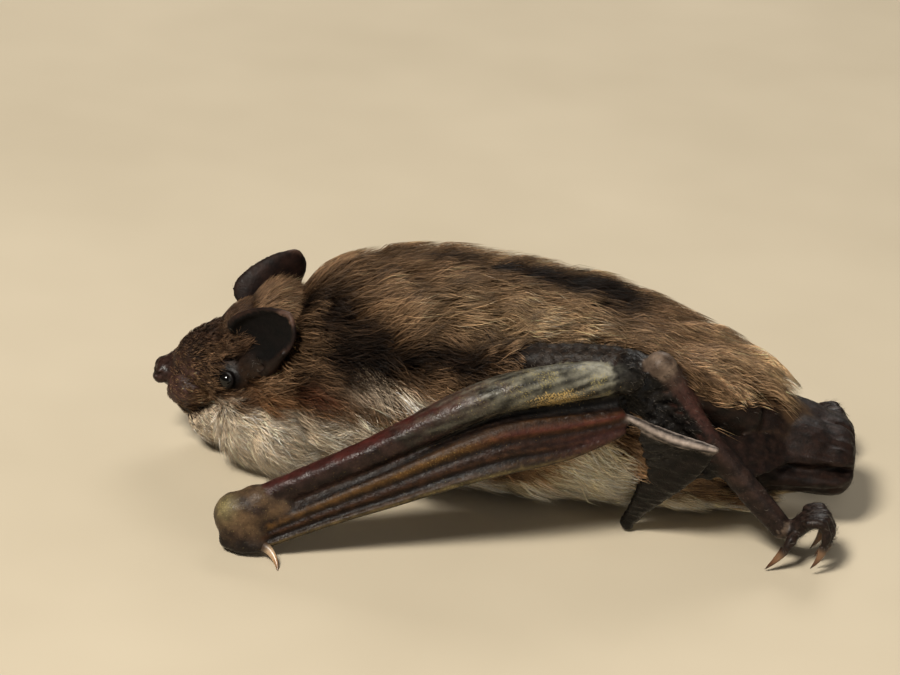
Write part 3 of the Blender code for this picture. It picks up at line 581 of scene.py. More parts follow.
def add_sheet(name, corners, side, half_thick, pleats):
    """A thin four-cornered sheet with soft pleats: their height, their number and which way they run."""
    shares = np.linspace(0, 1, SHEET_STEPS + 1)
    u, v = np.meshgrid(shares, shares, indexing="ij")
    a, b, c, d = (row(*corner) for corner in corners)
    top = a + (b - a) * u[..., None]
    bottom = d + (c - d) * u[..., None]
    places = top + (bottom - top) * v[..., None]
    height, number, way = pleats
    one, other = ((u, v), (v, u))[way]
    wave = height * np.sin(one * np.pi * number + other * 1.5) * np.sin(np.pi * other) ** 0.7
    places[..., 1] += side * (wave + 0.03 * np.sin(u * 17 + v * 6) * np.sin(v * 13 + u * 5))
    offset = grid_normals(places) * half_thick
    add_shell(name, places, offset, np.tile(u.ravel(), 2), np.tile(v.ravel(), 2))


# The inner toe lies across the others. Steps from the ankle, with Y outwards.
INNER_TOE = [(0.8, 0.9, 0.0), (0.6, 1.4, -0.4), (0.3, 1.5, -0.9)]
TOE_ARCH = [(2.0, 1.4), (3.1, 1.5), (3.7, 0.7), (3.6, -0.2)]  # the other toes, along X and in height
SOLE = [(0.75, 0.1, -0.1), (1.5, 0.1, 0.8), (2.2, 0.1, 1.3)]
SOLE_RADII = [(0.62, 0.7), (1.1, 0.66), (1.45, 0.5)]


def toe_path(pose, i):
    ankle, side = place_of(pose, "ankle"), pose["side"]
    if i == 0:
        return [on_side(side, step, ankle) for step in INNER_TOE]
    across = (TOES / 2 - i) * TOE_SPACING
    spread = 0.25 * across
    reach = 1 - 0.12 * abs(across)
    steps = [(x * reach, 0.2 + across + spread * k / 3, z) for k, (x, z) in enumerate(TOE_ARCH)]
    return [on_side(side, step, ankle) for step in steps]


def shin_path(pose):
    knee, ankle = place_of(pose, "knee"), place_of(pose, "ankle")
    return [knee, (knee + ankle) / 2 - row(0.4, 0, 0.2), ankle]


def add_leg(pose):
    """Thigh, knee, shin, the sole of the foot and its toes."""
    side = pose["side"]
    hip, knee, ankle = (place_of(pose, k) for k in ("hip", "knee", "ankle"))
    end = hip + (knee - hip) * 0.84
    path = [hip, (hip + end) / 2 + row(0, side * 0.4, 0.2), end]
    add_tube("thigh", path, THIGH_RADII)
    add_blob("shin", knee + row(0.05, side * 0.05, -0.1), (1.22, 1.08, 1.3), 30)

    def bone(t, turn):
        return 1 + 0.06 * np.cos(turn * 2 + 0.6) + 0.04 * np.cos(turn * 5) * smooth_step(t, 0.3, 0.8)

    radii = [(a + 0.1, b + 0.08) for a, b in SHIN_RADII]
    add_tube("shin", shin_path(pose), radii, steps=80, sides=30, up=(0, 1, 0), profile=bone)
    add_blob("shin", ankle + row(0.1, 0, 0.05), (0.85, 0.78, 0.78))
    add_tube("foot", [on_side(side, step, ankle) for step in SOLE], SOLE_RADII, steps=30, sides=30)

    def joints(t, _):
        return 1 + 0.14 * bell(t, 0.36, 0.1) + 0.12 * bell(t, 0.74, 0.1) - 0.12 * bell(t, 0.55, 0.1)

    for i in range(TOES):
        radii = [(TOE_RADIUS * share, TOE_RADIUS * share) for share in (1.15, 1.1, 0.85)]
        add_tube("foot", toe_path(pose, i), radii, steps=36, sides=18, up=(0, 1, 0.1), profile=joints)


# Long folds of the pouch: how high up its side, how wide, and how deep.
POUCH_FOLDS = [
    (1.15, 0.07, 0.1),
    (0.9, 0.06, 0.16),
    (0.62, 0.06, 0.18),
    (0.4, 0.05, 0.12),
    (-0.45, 0.08, 0.1),
]
POUCH_LINE = [(20.5, 2.4, 5.7), (25.4, 2.4, 5.6)]  # along the pouch's middle, with Y outwards


def pouch_rings(pose, x_from=19.2, x_to=26.45, steps=90, sides=120):
    """Half sections of the tail membrane, folded under itself, with long soft folds and a deep crease."""
    xs = np.linspace(x_from, x_to, steps)
    turn = np.pi / 2 - np.pi * np.arange(sides + 1) / sides
    rings = []
    for x in xs:
        t = (x - 20.0) / 6.5
        round_off = math.sqrt(max(1 - max(t - 0.76, 0) ** 2 / 0.24**2, 0.02))
        middle, half_height = 5.5 - 0.3 * t, (2.5 + 0.1 * t) * (0.35 + 0.65 * round_off)
        half_width = (5.2 - 1.1 * t) * (0.6 + 0.4 * round_off)
        y = 0.15 + half_width * np.cos(turn) ** 0.8
        z = middle + half_height * np.sign(np.sin(turn)) * abs(np.sin(turn)) ** 0.9
        grown = min(1, max(0, t) * 3) * round_off
        fold = np.zeros(sides + 1)
        for place, width, depth in POUCH_FOLDS:
            drift = 0.06 * math.sin(t * 4 + place * 20)
            fold = fold + depth * bell(turn, place + drift, width)
        y = y * (1 - grown * fold) - 2.0 * grown * bell(turn, 0.14 - 0.06 * t, 0.12)
        z = middle + (z - middle) * (1 - grown * fold)
        places = np.stack([np.full(sides + 1, x), pose["side"] * np.maximum(y, 0.1), z], 1)
        rings.append(places)
    return rings, xs


def add_tail_membrane(pose):
    side = pose["side"]
    rings, xs = pouch_rings(pose)
    add_rings("tail_membrane", rings, (xs - xs[0]) / (xs[-1] - xs[0]))
    knee, ankle = place_of(pose, "knee"), place_of(pose, "ankle")
    corners = [
        row(20.3, side * 3.6, 8.0),
        knee + (ankle - knee) * 0.42,
        knee + (ankle - knee) * 0.7,
        row(21.9, side * 3.6, 6.2),
    ]
    add_sheet("tail_membrane", corners, side, half_thick=0.22, pleats=(0.3, 6.5, 1))
    add_blob("tail_membrane", (22.0, side * 1.3, 6.6), (3.8, 2.9, 2.0), -12)


TRAGUS_PATH = [(-18.3, 4.9, 8.8), (-17.6, 5.7, 10.0), (-16.9, 6.2, 11.3)]  # with Y outwards
TRAGUS_RADII = [(0.42, 0.24), (0.45, 0.22), (0.2, 0.16)]


def build_forms():
    add_body()
    add_head()
    add_tube("tail", [row(*p) for p in TAIL_PATH], TAIL_RADII, up=(0, 1, 0))
    add_blob("tail_membrane", (23.9, 0, 5.3), (2.3, 1.9, 2.3))
    for pose in POSES.values():
        add_ear(pose)
        path = [on_side(pose["side"], place) for place in TRAGUS_PATH]
        add_tube("tragus", path, TRAGUS_RADII, up=(0, 1, 0))
        add_arm(pose)
        add_hand(pose)
        add_wing_fold(pose)
        add_finger(pose)
        add_wing_tip(pose)
        add_leg(pose)
        add_side_membrane(pose)
        add_tail_membrane(pose)


# --- one skin over all the forms --------------------------------------------------------------------

SKIN_VOXEL = 0.15
SKIN_TRIANGLES = 190000
SKIN_KEEPING = 0.01  # how strongly the weights hold bare skin back from thinning
UNDER_FUR, FUR_LEVELS = 0.6, 7  # how far the weight of skin falls under the fur, and in how many steps
EYE_REACH = 1.7  # the skin is finer within this distance of an eye
NOSE, NOSE_REACH = (-26.6, 0, 6.0), 1.6


def read_rows(items, field, width, kind=np.int32):
    found = np.empty(len(items) * width, kind)
    items.foreach_get(field, found)
    return found.reshape(-1, width)


def sum_at(places, rows, count):
    """Sums rows into count slots, by the slot that each belongs to."""
    return np.stack([np.bincount(places, rows[:, k], count) for k in range(rows.shape[1])], 1)


def normals_of(points, triangles):
    a, b, c = (points[triangles[:, k]] for k in range(3))
    facing = np.cross(b - a, c - a)
    return unit(sum(sum_at(triangles[:, k], facing, len(points)) for k in range(3)))


def relaxed(values, edges, rounds, share=0.5):
    """Values at the points of a mesh, evened out along its edges."""
    values = values.reshape(len(values), -1)
    count = len(values)
    a, b = edges.T
    degree = np.bincount(a, minlength=count) + np.bincount(b, minlength=count)
    for _ in range(rounds):
        total = sum_at(a, values[b], count) + sum_at(b, values[a], count)
        values = values + share * (total / np.maximum(degree, 1)[:, None] - values)
    return values


def evaluated(obj):
    graph = bpy.context.evaluated_depsgraph_get()
    mesh = bpy.data.meshes.new_from_object(obj.evaluated_get(graph))
    obj.modifiers.clear()
    obj.data = mesh
    return mesh


def new_object(name, data):
    made = bpy.data.objects.new(name, data)
    bpy.context.scene.collection.objects.link(made)
    return made


def refine(mesh, centre, radius):
    """Halves the edges of a mesh near a place."""
    bm = bmesh.new()
    bm.from_mesh(mesh)
    centre = Vector(centre)
    near_edges = [e for e in bm.edges if (e.verts[0].co - centre).length < radius]
    bmesh.ops.subdivide_edges(bm, edges=near_edges, cuts=1, use_grid_fill=True)
    bmesh.ops.triangulate(bm, faces=[f for f in bm.faces if len(f.verts) > 4])
    bm.to_mesh(mesh)
    bm.free()


def tree_of(points):
    tree = KDTree(len(points))
    for k, point in enumerate(points):
        tree.insert(point, k)
    tree.balance()
    return tree


def nearest_in(tree, points):
    return np.array([tree.find(point)[1] for point in points])


REGIONS = [
    "trunk", "head", "tail", "ear", "tragus", "forearm", "elbow", "upper_arm", "wrist", "thumb", "hand",
    "wing_fold", "finger", "wing_tip", "thigh", "shin", "foot", "side_membrane", "tail_membrane",
]

MOUTH = [(-26.9, 0.5, 4.9), (-25.9, 1.7, 4.55), (-24.2, 2.7, 3.9), (-22.5, 3.3, 3.75)]

# Creases of the face, with Y outwards from the midline: their line, width and depth.
FACE_LINES = [
    (MOUTH, 0.13, 0.24),
    ([(-27.3, 0.62, 6.2), (-26.8, 1.15, 6.0), (-26.3, 1.3, 6.3)], 0.12, 0.24),  # the nostril's slit
    ([(-26.0, 0.9, 7.2), (-25.7, 1.6, 6.4), (-25.9, 1.7, 5.5)], 0.16, 0.16),  # behind the nose pad
    ([(-24.9, 2.6, 6.9), (-23.4, 3.0, 6.5), (-22.6, 3.6, 6.4)], 0.2, 0.14),
    ([(-22.4, 3.3, 8.5), (-21.2, 3.7, 8.8), (-20.0, 4.2, 8.4)], 0.2, 0.12),  # above the eye
    ([(-22.6, 3.4, 6.6), (-21.4, 4.1, 6.3), (-20.1, 4.4, 6.5)], 0.16, 0.12),  # below the eye
]


class Skin:
    """The skin's points and, for each, how much it belongs to each region and where on that form it lies."""

    def __init__(self):
        starts = np.cumsum([0] + [len(form[1]) for form in FORMS])
        points = np.vstack([form[1] for form in FORMS])
        faces = [[k + int(s) for k in face] for form, s in zip(FORMS, starts) for face in form[2]]
        mesh = bpy.data.meshes.new("scratch")
        mesh.from_pydata(points.tolist(), [], faces)
        obj = new_object("scratch", mesh)
        remesh = obj.modifiers.new("remesh", "REMESH")
        remesh.mode = "VOXEL"
        remesh.voxel_size = SKIN_VOXEL
        mesh = evaluated(obj)
        for side in (-1, 1):
            refine(mesh, on_side(side, EYE), EYE_REACH)
        refine(mesh, NOSE, NOSE_REACH)
        self.source_tree = tree_of(points)
        self.source_region = np.concatenate([[REGIONS.index(form[0])] * len(form[1]) for form in FORMS])
        self.source_t = np.concatenate([form[3] for form in FORMS])
        self.source_u = np.concatenate([form[4] for form in FORMS])
        self.take(mesh)
        self.read_forms(8)
        self.smooth()
        self.sculpt()
        mesh.vertices.foreach_set("co", self.points.astype(np.float32).ravel())
        self.take(self.thinned(obj))
        self.points[:, 2] = np.maximum(self.points[:, 2], 0.0)
        self.read_forms(3)
        bpy.data.objects.remove(obj)

    def take(self, mesh):
        mesh.calc_loop_triangles()
        self.points = read_rows(mesh.vertices, "co", 3, np.float32).astype(float)
        self.edges = read_rows(mesh.edges, "vertices", 2)
        self.triangles = read_rows(mesh.loop_triangles, "vertices", 3)

    def thinned(self, obj):
        """Fewer triangles, mostly where fur covers the skin."""
        group = obj.vertex_groups.new(name="under_fur")
        kept = smooth_step(self.part("trunk", "thigh"), 0.2, 0.9)
        kept = 1 - UNDER_FUR * kept * (1 - bare_rump(self.points))
        levels = np.round((1 - kept) / UNDER_FUR * FUR_LEVELS).astype(int)
        for level in range(FUR_LEVELS + 1):
            chosen = np.nonzero(levels == level)[0]
            group.add(chosen.tolist(), 1 - UNDER_FUR + UNDER_FUR * level / FUR_LEVELS, "REPLACE")
        step = obj.modifiers.new("decimate", "DECIMATE")
        step.ratio = min(1.0, SKIN_TRIANGLES / len(self.triangles))
        step.vertex_group, step.vertex_group_factor = group.name, SKIN_KEEPING
        return evaluated(obj)

    def read_forms(self, rounds):
        """Each point's regions, blended along the edges, and its place along and round its own form."""
        nearest = nearest_in(self.source_tree, self.points)
        belongs = np.zeros((len(self.points), len(REGIONS)))
        belongs[np.arange(len(nearest)), self.source_region[nearest]] = 1
        self.belongs = relaxed(belongs, self.edges, rounds)
        self.t, self.u = self.source_t[nearest], self.source_u[nearest]
        self.normals = normals_of(self.points, self.triangles)

    def even_out(self, rounds, share):
        smooth = relaxed(self.points, self.edges, rounds)
        self.points += (smooth - self.points) * share[:, None]

    def smooth(self):
        """Takes the voxels' steps away, and melts sheets and knobs into their neighbours."""
        self.even_out(3, 1 - 0.6 * self.part("ear") - 0.5 * self.part("hand") - 0.5 * self.part("finger"))
        sheets = self.part("wing_tip", "side_membrane", "tail_membrane", "wing_fold")
        self.even_out(9, np.clip(sheets * 1.3, 0, 1))
        joints = relaxed(self.part("wrist", "thumb"), self.edges, 6)[:, 0]
        self.even_out(16, np.clip(joints * 1.5, 0, 1))

    def part(self, *names):
        return sum(self.belongs[:, REGIONS.index(name)] for name in names)

    def push(self, amount):
        self.points += self.normals * amount[:, None]

    def carve(self, path, width, depth):
        far, _ = to_path(self.points, path)
        self.push(-depth * bell(far, 0, width))

    def sculpt(self):
        """Folds, lids, nostrils and the fine relief of bare skin."""
        p = self.points
        head = self.part("head")
        bare = self.part("forearm", "elbow", "wrist", "thumb", "finger", "shin", "foot")
        webs = self.part("side_membrane", "tail_membrane", "tail", "wing_tip")
        self.push(0.025 * waves(p, 0.9, 3, 3) * bare)
        self.push(0.045 * waves(p * row(0.35, 1, 1.6), 1.0, 4, 3) * webs)
        self.push(0.10 * waves(p, 3.5, 5, 2) * self.part("trunk"))
        self.push(0.07 * waves(p, 1.1, 7, 3) * self.part("upper_arm") * smooth_step(self.t, 0.45, 0.6))
        self.push(0.09 * waves(p, 1.0, 8, 3) * self.part("side_membrane"))
        muzzle = head * smooth_step(-p[:, 0], 21.5, 23.5)
        self.push(0.09 * waves(p, 1.3, 6, 3) * muzzle)
        ribs = np.sin(self.t * 46 + 0.6 * waves(p, 2.0, 9, 1))
        self.push(0.014 * ribs * self.part("ear") * self.u * smooth_step(self.t, 0.25, 0.5))
        for side in (-1, 1):
            for line, width, depth in FACE_LINES:
                self.carve([on_side(side, place) for place in line], width, depth)
            self.push(0.16 * near(self.points, (-23.9, side * 2.6, 7.2), 0.9, 0.6, 0.5))
            self.push(-0.45 * near(self.points, (-27.1, side * 0.68, 6.15), 0.24))
            self.shape_eye(side)
        self.carve([(-27.4, 0, 6.9), (-27.3, 0, 5.8), (-26.9, 0, 5.0)], 0.13, 0.18)

    def shape_eye(self, side):
        """Opens the socket round the eyeball and raises a lid at its edge."""
        axis = unit(row(-0.42, side * 0.88, 0.22))
        away = self.points - on_side(side, EYE)
        far = np.linalg.norm(away, axis=1)
        turn = np.degrees(np.arccos(np.clip((away @ axis) / np.maximum(far, 1e-6), -1, 1)))
        opening, lid = 47.0, 80.0  # degrees from the way that the eye looks
        rim = EYE_RADIUS + 0.13 * bell(turn, 66, 14) - 0.02
        wanted = np.where(turn < opening, EYE_RADIUS - 0.16, rim)
        hold = 1 - smooth_step(far, 1.1, 1.6)
        hold *= 1 - smooth_step(turn, lid + 4, lid + 40)
        self.points += (unit(away) * (wanted - far)[:, None]) * hold[:, None]


def tint(code):
    """A colour written as six hexadecimal digits, as linear light."""
    values = np.array([int(code[k : k + 2], 16) / 255 for k in (0, 2, 4)])
    return np.where(values <= 0.04045, values / 12.92, ((values + 0.055) / 1.055) ** 2.4)


def mixed(one, two, share):
    share = np.asarray(share)[:, None]
    return one * (1 - share) + two * share


# --- markings, shared by the skin and the coat ------------------------------------------------------

# Fur colours at the root, the middle and the tip.
FUR = {
    "brown": ("110b07", "513a26", "c39c76"),
    "dark": ("030202", "0f0a07", "3c2c20"),
    "golden": ("20150c", "8a6a49", "eccca0"),
    "warm": ("251810", "9c7856", "f2d0a6"),
    "white": ("8a7861", "dfc9ad", "fff6e4"),
    "cream": ("9a8562", "e6d2ac", "fff6e2"),
    "orange": ("2a180d", "8a5a36", "c8986a"),
    "rust": ("140904", "371d10", "5c3724"),
    "face": ("080504", "261911", "5e4534"),
}

# Where each fur colour lies: its middle, the radii over which it fades, and how strong it is. Some dark
# marks are painted shade, in the hollow where the fur parts at each shoulder and along the flanks above the
# forearms, and the golden marks on the middle of the back are partly painted highlight.
FUR_MARKS = [
    # Partly painted highlight: golden tips on the middle of the back, where the light falls.
    ("golden", (2.5, -5.0, 16.2), (7.5, 3.4, 2.8), 0.85),
    ("golden", (2.5, 5.4, 16.0), (7.5, 3.4, 2.8), 0.7),
    ("warm", (17.5, 0, 10.5), (5.0, 8.0, 5.0), 0.9),
    ("dark", (2.2, 0.8, 17.6), (3.4, 1.8, 1.6), 1.8),
    ("dark", (7.4, 1.0, 16.7), (3.8, 2.0, 1.6), 1.9),
    ("dark", (-5.5, 1.8, 18.0), (4.5, 2.4, 1.5), 0.75),
    # Painted shade: these dark marks, down to the next comment, lie in the hollow where the fur parts at
    # each shoulder.
    ("dark", (-12.3, -4.2, 13.6), (2.3, 2.8, 2.2), 1.7),
    ("dark", (-10.8, -7.4, 12.4), (2.3, 2.6, 2.3), 1.7),
    ("dark", (-9.0, -9.0, 11.8), (2.0, 2.2, 1.2), 1.0),
    ("dark", (-13.8, -7.2, 9.8), (2.0, 2.2, 1.4), 0.8),
    ("dark", (-11.4, 6.6, 12.8), (2.9, 3.4, 2.9), 1.5),
    ("dark", (-9.8, -9.3, 11.0), (2.2, 2.0, 1.4), 0.9),
    # Painted shade: dark along each flank above the forearm, turned from the light.
    ("dark", (-3.0, -9.0, 13.6), (5.5, 2.4, 1.6), 1.0),
    ("dark", (-3.0, 9.0, 13.2), (5.5, 2.4, 1.8), 0.9),
    ("orange", (-16.8, -5.4, 6.9), (2.2, 2.4, 1.0), 0.9),
    ("orange", (-17.2, 5.2, 6.9), (1.7, 2.4, 1.0), 0.9),
    ("rust", (-13.2, -8.1, 8.6), (2.8, 2.4, 1.1), 1.1),
    ("rust", (-13.2, 8.1, 8.6), (2.8, 2.4, 1.1), 1.1),
    ("face", (-22.2, 0, 9.6), (4.0, 4.5, 3.4), 1.1),
    ("face", (-20.0, 0, 11.6), (2.4, 3.0, 2.0), 0.7),
    ("face", (-18.6, -5.3, 6.6), (1.6, 1.5, 1.0), 0.8),
    ("white", (-6.0, -10.0, 9.5), (3.4, 1.8, 0.65), 1.1),
    ("face", (-19.8, -4.4, 8.6), (1.8, 1.5, 1.6), 0.5),
    ("face", (-19.8, 4.4, 8.6), (1.8, 1.5, 1.6), 0.5),
    ("dark", (-4.5, -3.0, 17.0), (5.5, 3.2, 2.0), 0.3),
    ("dark", (-15.2, -6.6, 9.8), (1.8, 2.2, 1.9), 0.45),
    ("dark", (-7.5, -9.4, 12.4), (2.6, 2.0, 1.0), 0.4),
    ("face", (-19.4, -3.8, 10.4), (1.6, 1.6, 1.6), 1.0),
    ("face", (-19.4, 3.8, 10.4), (1.6, 1.6, 1.6), 1.0),
    ("golden", (20.5, -1.0, 10.8), (2.6, 4.5, 2.2), 0.7),
    # Painted shade: more dark in the shoulder hollow and along the flank.
    ("dark", (-12.8, -2.2, 14.6), (2.4, 2.4, 1.8), 1.1),
    ("dark", (-8.6, -7.5, 13.6), (3.0, 2.6, 2.0), 0.8),
    ("dark", (1.5, -8.3, 14.6), (4.5, 2.4, 1.6), 0.6),
]

# The lower edge of the brown coat: place along X and height. The fur below it is pale.
PALE_LINE = [
    (-27.0, 1.0), (-24.5, 2.2), (-22.6, 4.6), (-20.5, 6.4), (-18.0, 6.3), (-15.5, 6.5), (-12.8, 7.2),
    (-9.0, 7.6), (-5.0, 6.6), (-1.0, 3.6), (4.6, 3.4), (6.2, 8.0), (9.6, 8.2), (11.6, 3.6), (18.0, 2.6),
    (24.0, 2.0),
]


def fur_colours(points):
    """The colours at the root, the middle and the tip of hairs rooted at points."""
    shades = [np.tile(tint(code), (len(points), 1)) for code in FUR["brown"]]
    patch = waves(points, 3.2, 11, 2)
    fine = waves(points, 1.3, 12, 2)
    for name, middle, radii, strength in FUR_MARKS:
        share = near(points, middle, *radii) * strength * (1.15 + 0.3 * patch + 0.15 * fine)
        share = np.clip(share, 0, 1)
        shades = [mixed(shade, tint(code), share) for shade, code in zip(shades, FUR[name])]
    line = height_of(PALE_LINE, points[:, 0])
    pale = smooth_step(line - points[:, 2] + 0.5 * patch + 0.5 * fine, -0.4, 0.7)
    creamy = smooth_step(points[:, 0], -6, 4)
    for k in range(3):
        colour = mixed(np.tile(tint(FUR["white"][k]), (len(points), 1)), tint(FUR["cream"][k]), creamy)
        shades[k] = mixed(shades[k], colour, pale)
    return shades


class Paint:
    """The look of bare skin at each of its points: colour, roughness, and the specks that lie on it."""

    def __init__(self, skin):
        self.skin = skin
        root, middle, _ = fur_colours(skin.points + skin.normals * skin.depth[:, None])
        count = len(skin.points)
        self.colour = mixed(root, middle, np.full(count, 0.3))
        self.colour = mixed(self.colour, tint("120c0a"), 1 - self.weight("trunk head thigh", 1))
        self.rough = np.full(count, 0.62)
        self.speck = np.zeros((count, 3))
        self.specked = np.zeros(count)

    def weight(self, names, share):
        return np.clip(self.skin.part(*names.split()) * share, 0, 1)

    def lay(self, names, shade, roughness, share=1.0):
        weight = self.weight(names, share)
        self.colour = mixed(self.colour, shade, weight)
        self.rough = self.rough * (1 - weight) + roughness * weight

    def wash(self, names, dark, light, noise, roughness, share=1.0):
        """Lays a colour that wanders between two, with noise from -1 to 1."""
        self.lay(names, blend(dark, light, 0.5 + 0.5 * noise), roughness, share)

    def dust(self, names, code, amount):
        """Specks of a colour: how much of the surface they cover, from 0 to 1."""
        weight = self.weight(names, amount)
        self.speck = np.where((weight > self.specked)[:, None], tint(code), self.speck)
        self.specked = np.maximum(self.specked, weight)


def blend(dark, light, share):
    """Between two colours by a share from 0 to 1 at each point."""
    return tint(dark) + (tint(light) - tint(dark)) * np.clip(share, 0, 1)[:, None]


def paint_face(paint, cloud, speck):
    """Brown, with a pinkish cast on the swollen muzzle, a dark nose, dark rims round the eyes, and painted
    shade in the nostrils and along the crease of the mouth.
    """
    p = paint.skin.points
    x, _, z = p.T
    paint.wash("head", "150d09", "2a1b13", cloud, 0.55, smooth_step(-x, 19.0, 21.5))
    bare = smooth_step(-x, 22.3, 24.0) * smooth_step(z, 2.4, 3.6) * (1 - smooth_step(z, 7.2, 8.2))
    paint.wash("head", "1d120e", "3a2620", cloud, 0.42, bare * 0.95)
    for side in (-1, 1):
        pink = near(p, (-23.6, side * 2.9, 6.9), 1.2, 1.2, 0.8)
        pink = pink + near(p, (-24.6, side * 2.4, 4.9), 1.3, 1.2, 0.9) * 0.5
        paint.wash("head", "43302c", "6e4f4a", cloud, 0.36, pink * 0.8)
    paint.wash("head", "1a100d", "35241f", speck, 0.32, smooth_step(-x, 25.5, 26.1))
    for side in (-1, 1):
        from_eye = np.linalg.norm(p - on_side(side, EYE), axis=1)
        paint.lay("head", tint("0a0605"), 0.45, 1 - smooth_step(from_eye, 0.8, 1.3))
        # Painted shade: the nostrils' openings are painted near black.
        paint.lay("head", tint("050303"), 0.4, near(p, (-27.05, side * 0.7, 6.15), 0.34))
        # Painted shade: a dark line along the crease of the mouth.
        mouth = [on_side(side, place) for place in MOUTH]
        paint.lay("head", tint("0b0605"), 0.4, bell(to_path(p, mouth)[0], 0, 0.17))


def paint_ears(paint, cloud):
    """Near black inside, as painted shade of the deep bowl, and brown outside, with a thin paler rim that is
    partly a painted highlight.
    """
    t, u = paint.skin.t, paint.skin.u
    paint.wash("ear tragus", "130b09", "241611", cloud, 0.58)
    # Painted shade: the inner face of the bowl is near black for the shade deep inside it.
    paint.wash("ear", "030201", "080403", cloud, 0.85, u)
    # The pale rim is partly its own colour and partly a painted highlight along the wet edge.
    paint.lay("ear", tint("5f473b"), 0.3, 0.6 * smooth_step(t, 0.95, 0.99))
    paint.wash("tragus", "0f0907", "1c110d", cloud, 0.45)


def paint_forearm(paint, cloud, speck):
    """Dark red-brown near the wrist, streaked grey with yellowish dust towards the elbow, with a pale grey
    painted highlight on its upper side near the elbow, black at it.
    """
    p, t = paint.skin.points, paint.skin.t
    up = paint.skin.normals[:, 2]
    upper = smooth_step(up, 0.3, 0.85)
    red = blend("17100e", "30221e", 0.5 + 0.5 * cloud)
    red = mixed(red, tint("3d1a16"), np.clip(upper * (0.75 + 0.3 * cloud), 0, 1))
    ahead = unit(row(-26.5, 5.8, -11.1))  # from the left elbow to its wrist, with Y outwards
    mirrored = p * row(1, 0, 1) + abs(p) * row(0, 1, 0)
    strokes = waves(mirrored - ahead * (mirrored @ ahead)[:, None] * 0.8, 0.6, 25, 3)
    grey = blend("23211c", "6a675a", 0.42 + 0.22 * cloud + 0.5 * strokes)
    # Painted highlight: pale grey on the upper side near the elbow, where the light falls.
    grey = mixed(grey, tint("8a877a"), bell(t, 0.07, 0.07) * np.clip(upper + 0.3 * strokes, 0, 1))
    towards_elbow = 1 - smooth_step(t + 0.08 * cloud, 0.22, 0.62)
    paint.lay("forearm", mixed(red, grey, towards_elbow), 0.36)
    ends = [along(forearm_path(pose), 0.13)[0] for pose in POSES.values()]
    past = np.min([np.linalg.norm(p - end, axis=1) for end in ends], 0) + 0.12 * cloud
    joint = smooth_step(past, 2.35, 2.6) * (1 - smooth_step(t, 0.11, 0.13))
    paint.wash("forearm", "0b0a09", "201d1a", speck, 0.36, joint)
    paint.wash("elbow", "0b0a09", "201d1a", speck, 0.36)
    dusty = 0.15 + 0.6 * smooth_step(cloud, -0.2, 0.7)
    paint.dust("forearm", "8f8352", dusty * towards_elbow * (1 - joint))
    low = smooth_step(-up, -0.35, 0.15) * bell(t, 0.2, 0.08)
    paint.dust("forearm", "d0b070", 1.1 * low)


def paint_arms(paint, cloud, speck):
    """The furless end of the upper arm, the olive wrist and the dark thumb."""
    bare = smooth_step(paint.skin.t, 0.45, 0.65)
    paint.wash("upper_arm", "0b0806", "2c2119", speck, 0.5, bare)
    paint.dust("upper_arm", "5a4c40", 0.2 * bare)
    paint.wash("wrist thumb", "2c2019", "55422f", cloud, 0.45)
    paint.wash("thumb", "110d0b", "261e1a", cloud, 0.42)
    for side in (-1, 1):
        patch = near(paint.skin.points, (-19.4, side * 16.6, 3.6), 0.8, 1.0, 0.95)
        paint.lay("wrist", tint("6f6648"), 0.5, 0.85 * patch)
        paint.dust("wrist", "9a8c5c", 0.1 + 0.5 * patch)


HAND_TINTS = ("22150b", "372414", "50371a", "2e1a0f", "342012", "3a2819", "54472e")  # one for each ridge


def paint_hand(paint, fibre):
    """Long stripes along the folded hand: brown and ochre ridges with near-black gaps between them, partly
    dark skin and partly painted shade in the grooves.
    """
    t, u = paint.skin.t, paint.skin.u
    across = u * 2 - 1
    # Partly painted shade: the fold between forearm and hand is darker than the other wing skin, for the
    # shade in the gap.
    paint.wash("wing_fold", "050404", "14100e", fibre, 0.5)
    # The near-black ground between the ridges is partly dark skin and partly painted shade in the grooves.
    hand = blend("070302", "120906", 0.5 + 0.5 * fibre)
    for ridge, code in zip(HAND_RIDGES, HAND_TINTS):
        stripe = bell(across, ridge_place(ridge, t), ridge[2] * 0.85)
        hand = mixed(hand, tint(code), stripe * (0.8 + 0.2 * fibre))
    main = bell(across, ridge_place(HAND_RIDGES[2], t), 0.16)
    hand = mixed(hand, tint("3e1a16"), np.clip(main * (1 - smooth_step(t, 0.3, 0.5)), 0, 1) * 0.85)
    reddish = bell(t, 0.08, 0.12) * smooth_step(across, -0.4, 0.1)
    hand = mixed(hand, tint("3a1c19"), np.clip(reddish, 0, 1) * 0.5)
    paint.lay("hand", hand, 0.5)
    paint.dust("hand", "84693c", 0.6 * main * bell(t, 0.52, 0.16))
    paint.dust("hand", "7d7850", 0.55 * bell(across, 0.94, 0.1) * bell(t, 0.5, 0.22))
    lines = relaxed(0.5 + 0.5 * np.cos(u * 2 * np.pi * 4)[:, None], paint.skin.edges, 1)[:, 0]
    paint.lay("finger", blend("0f0b0a", "988a80", lines * 1.3 - 0.15), 0.45)


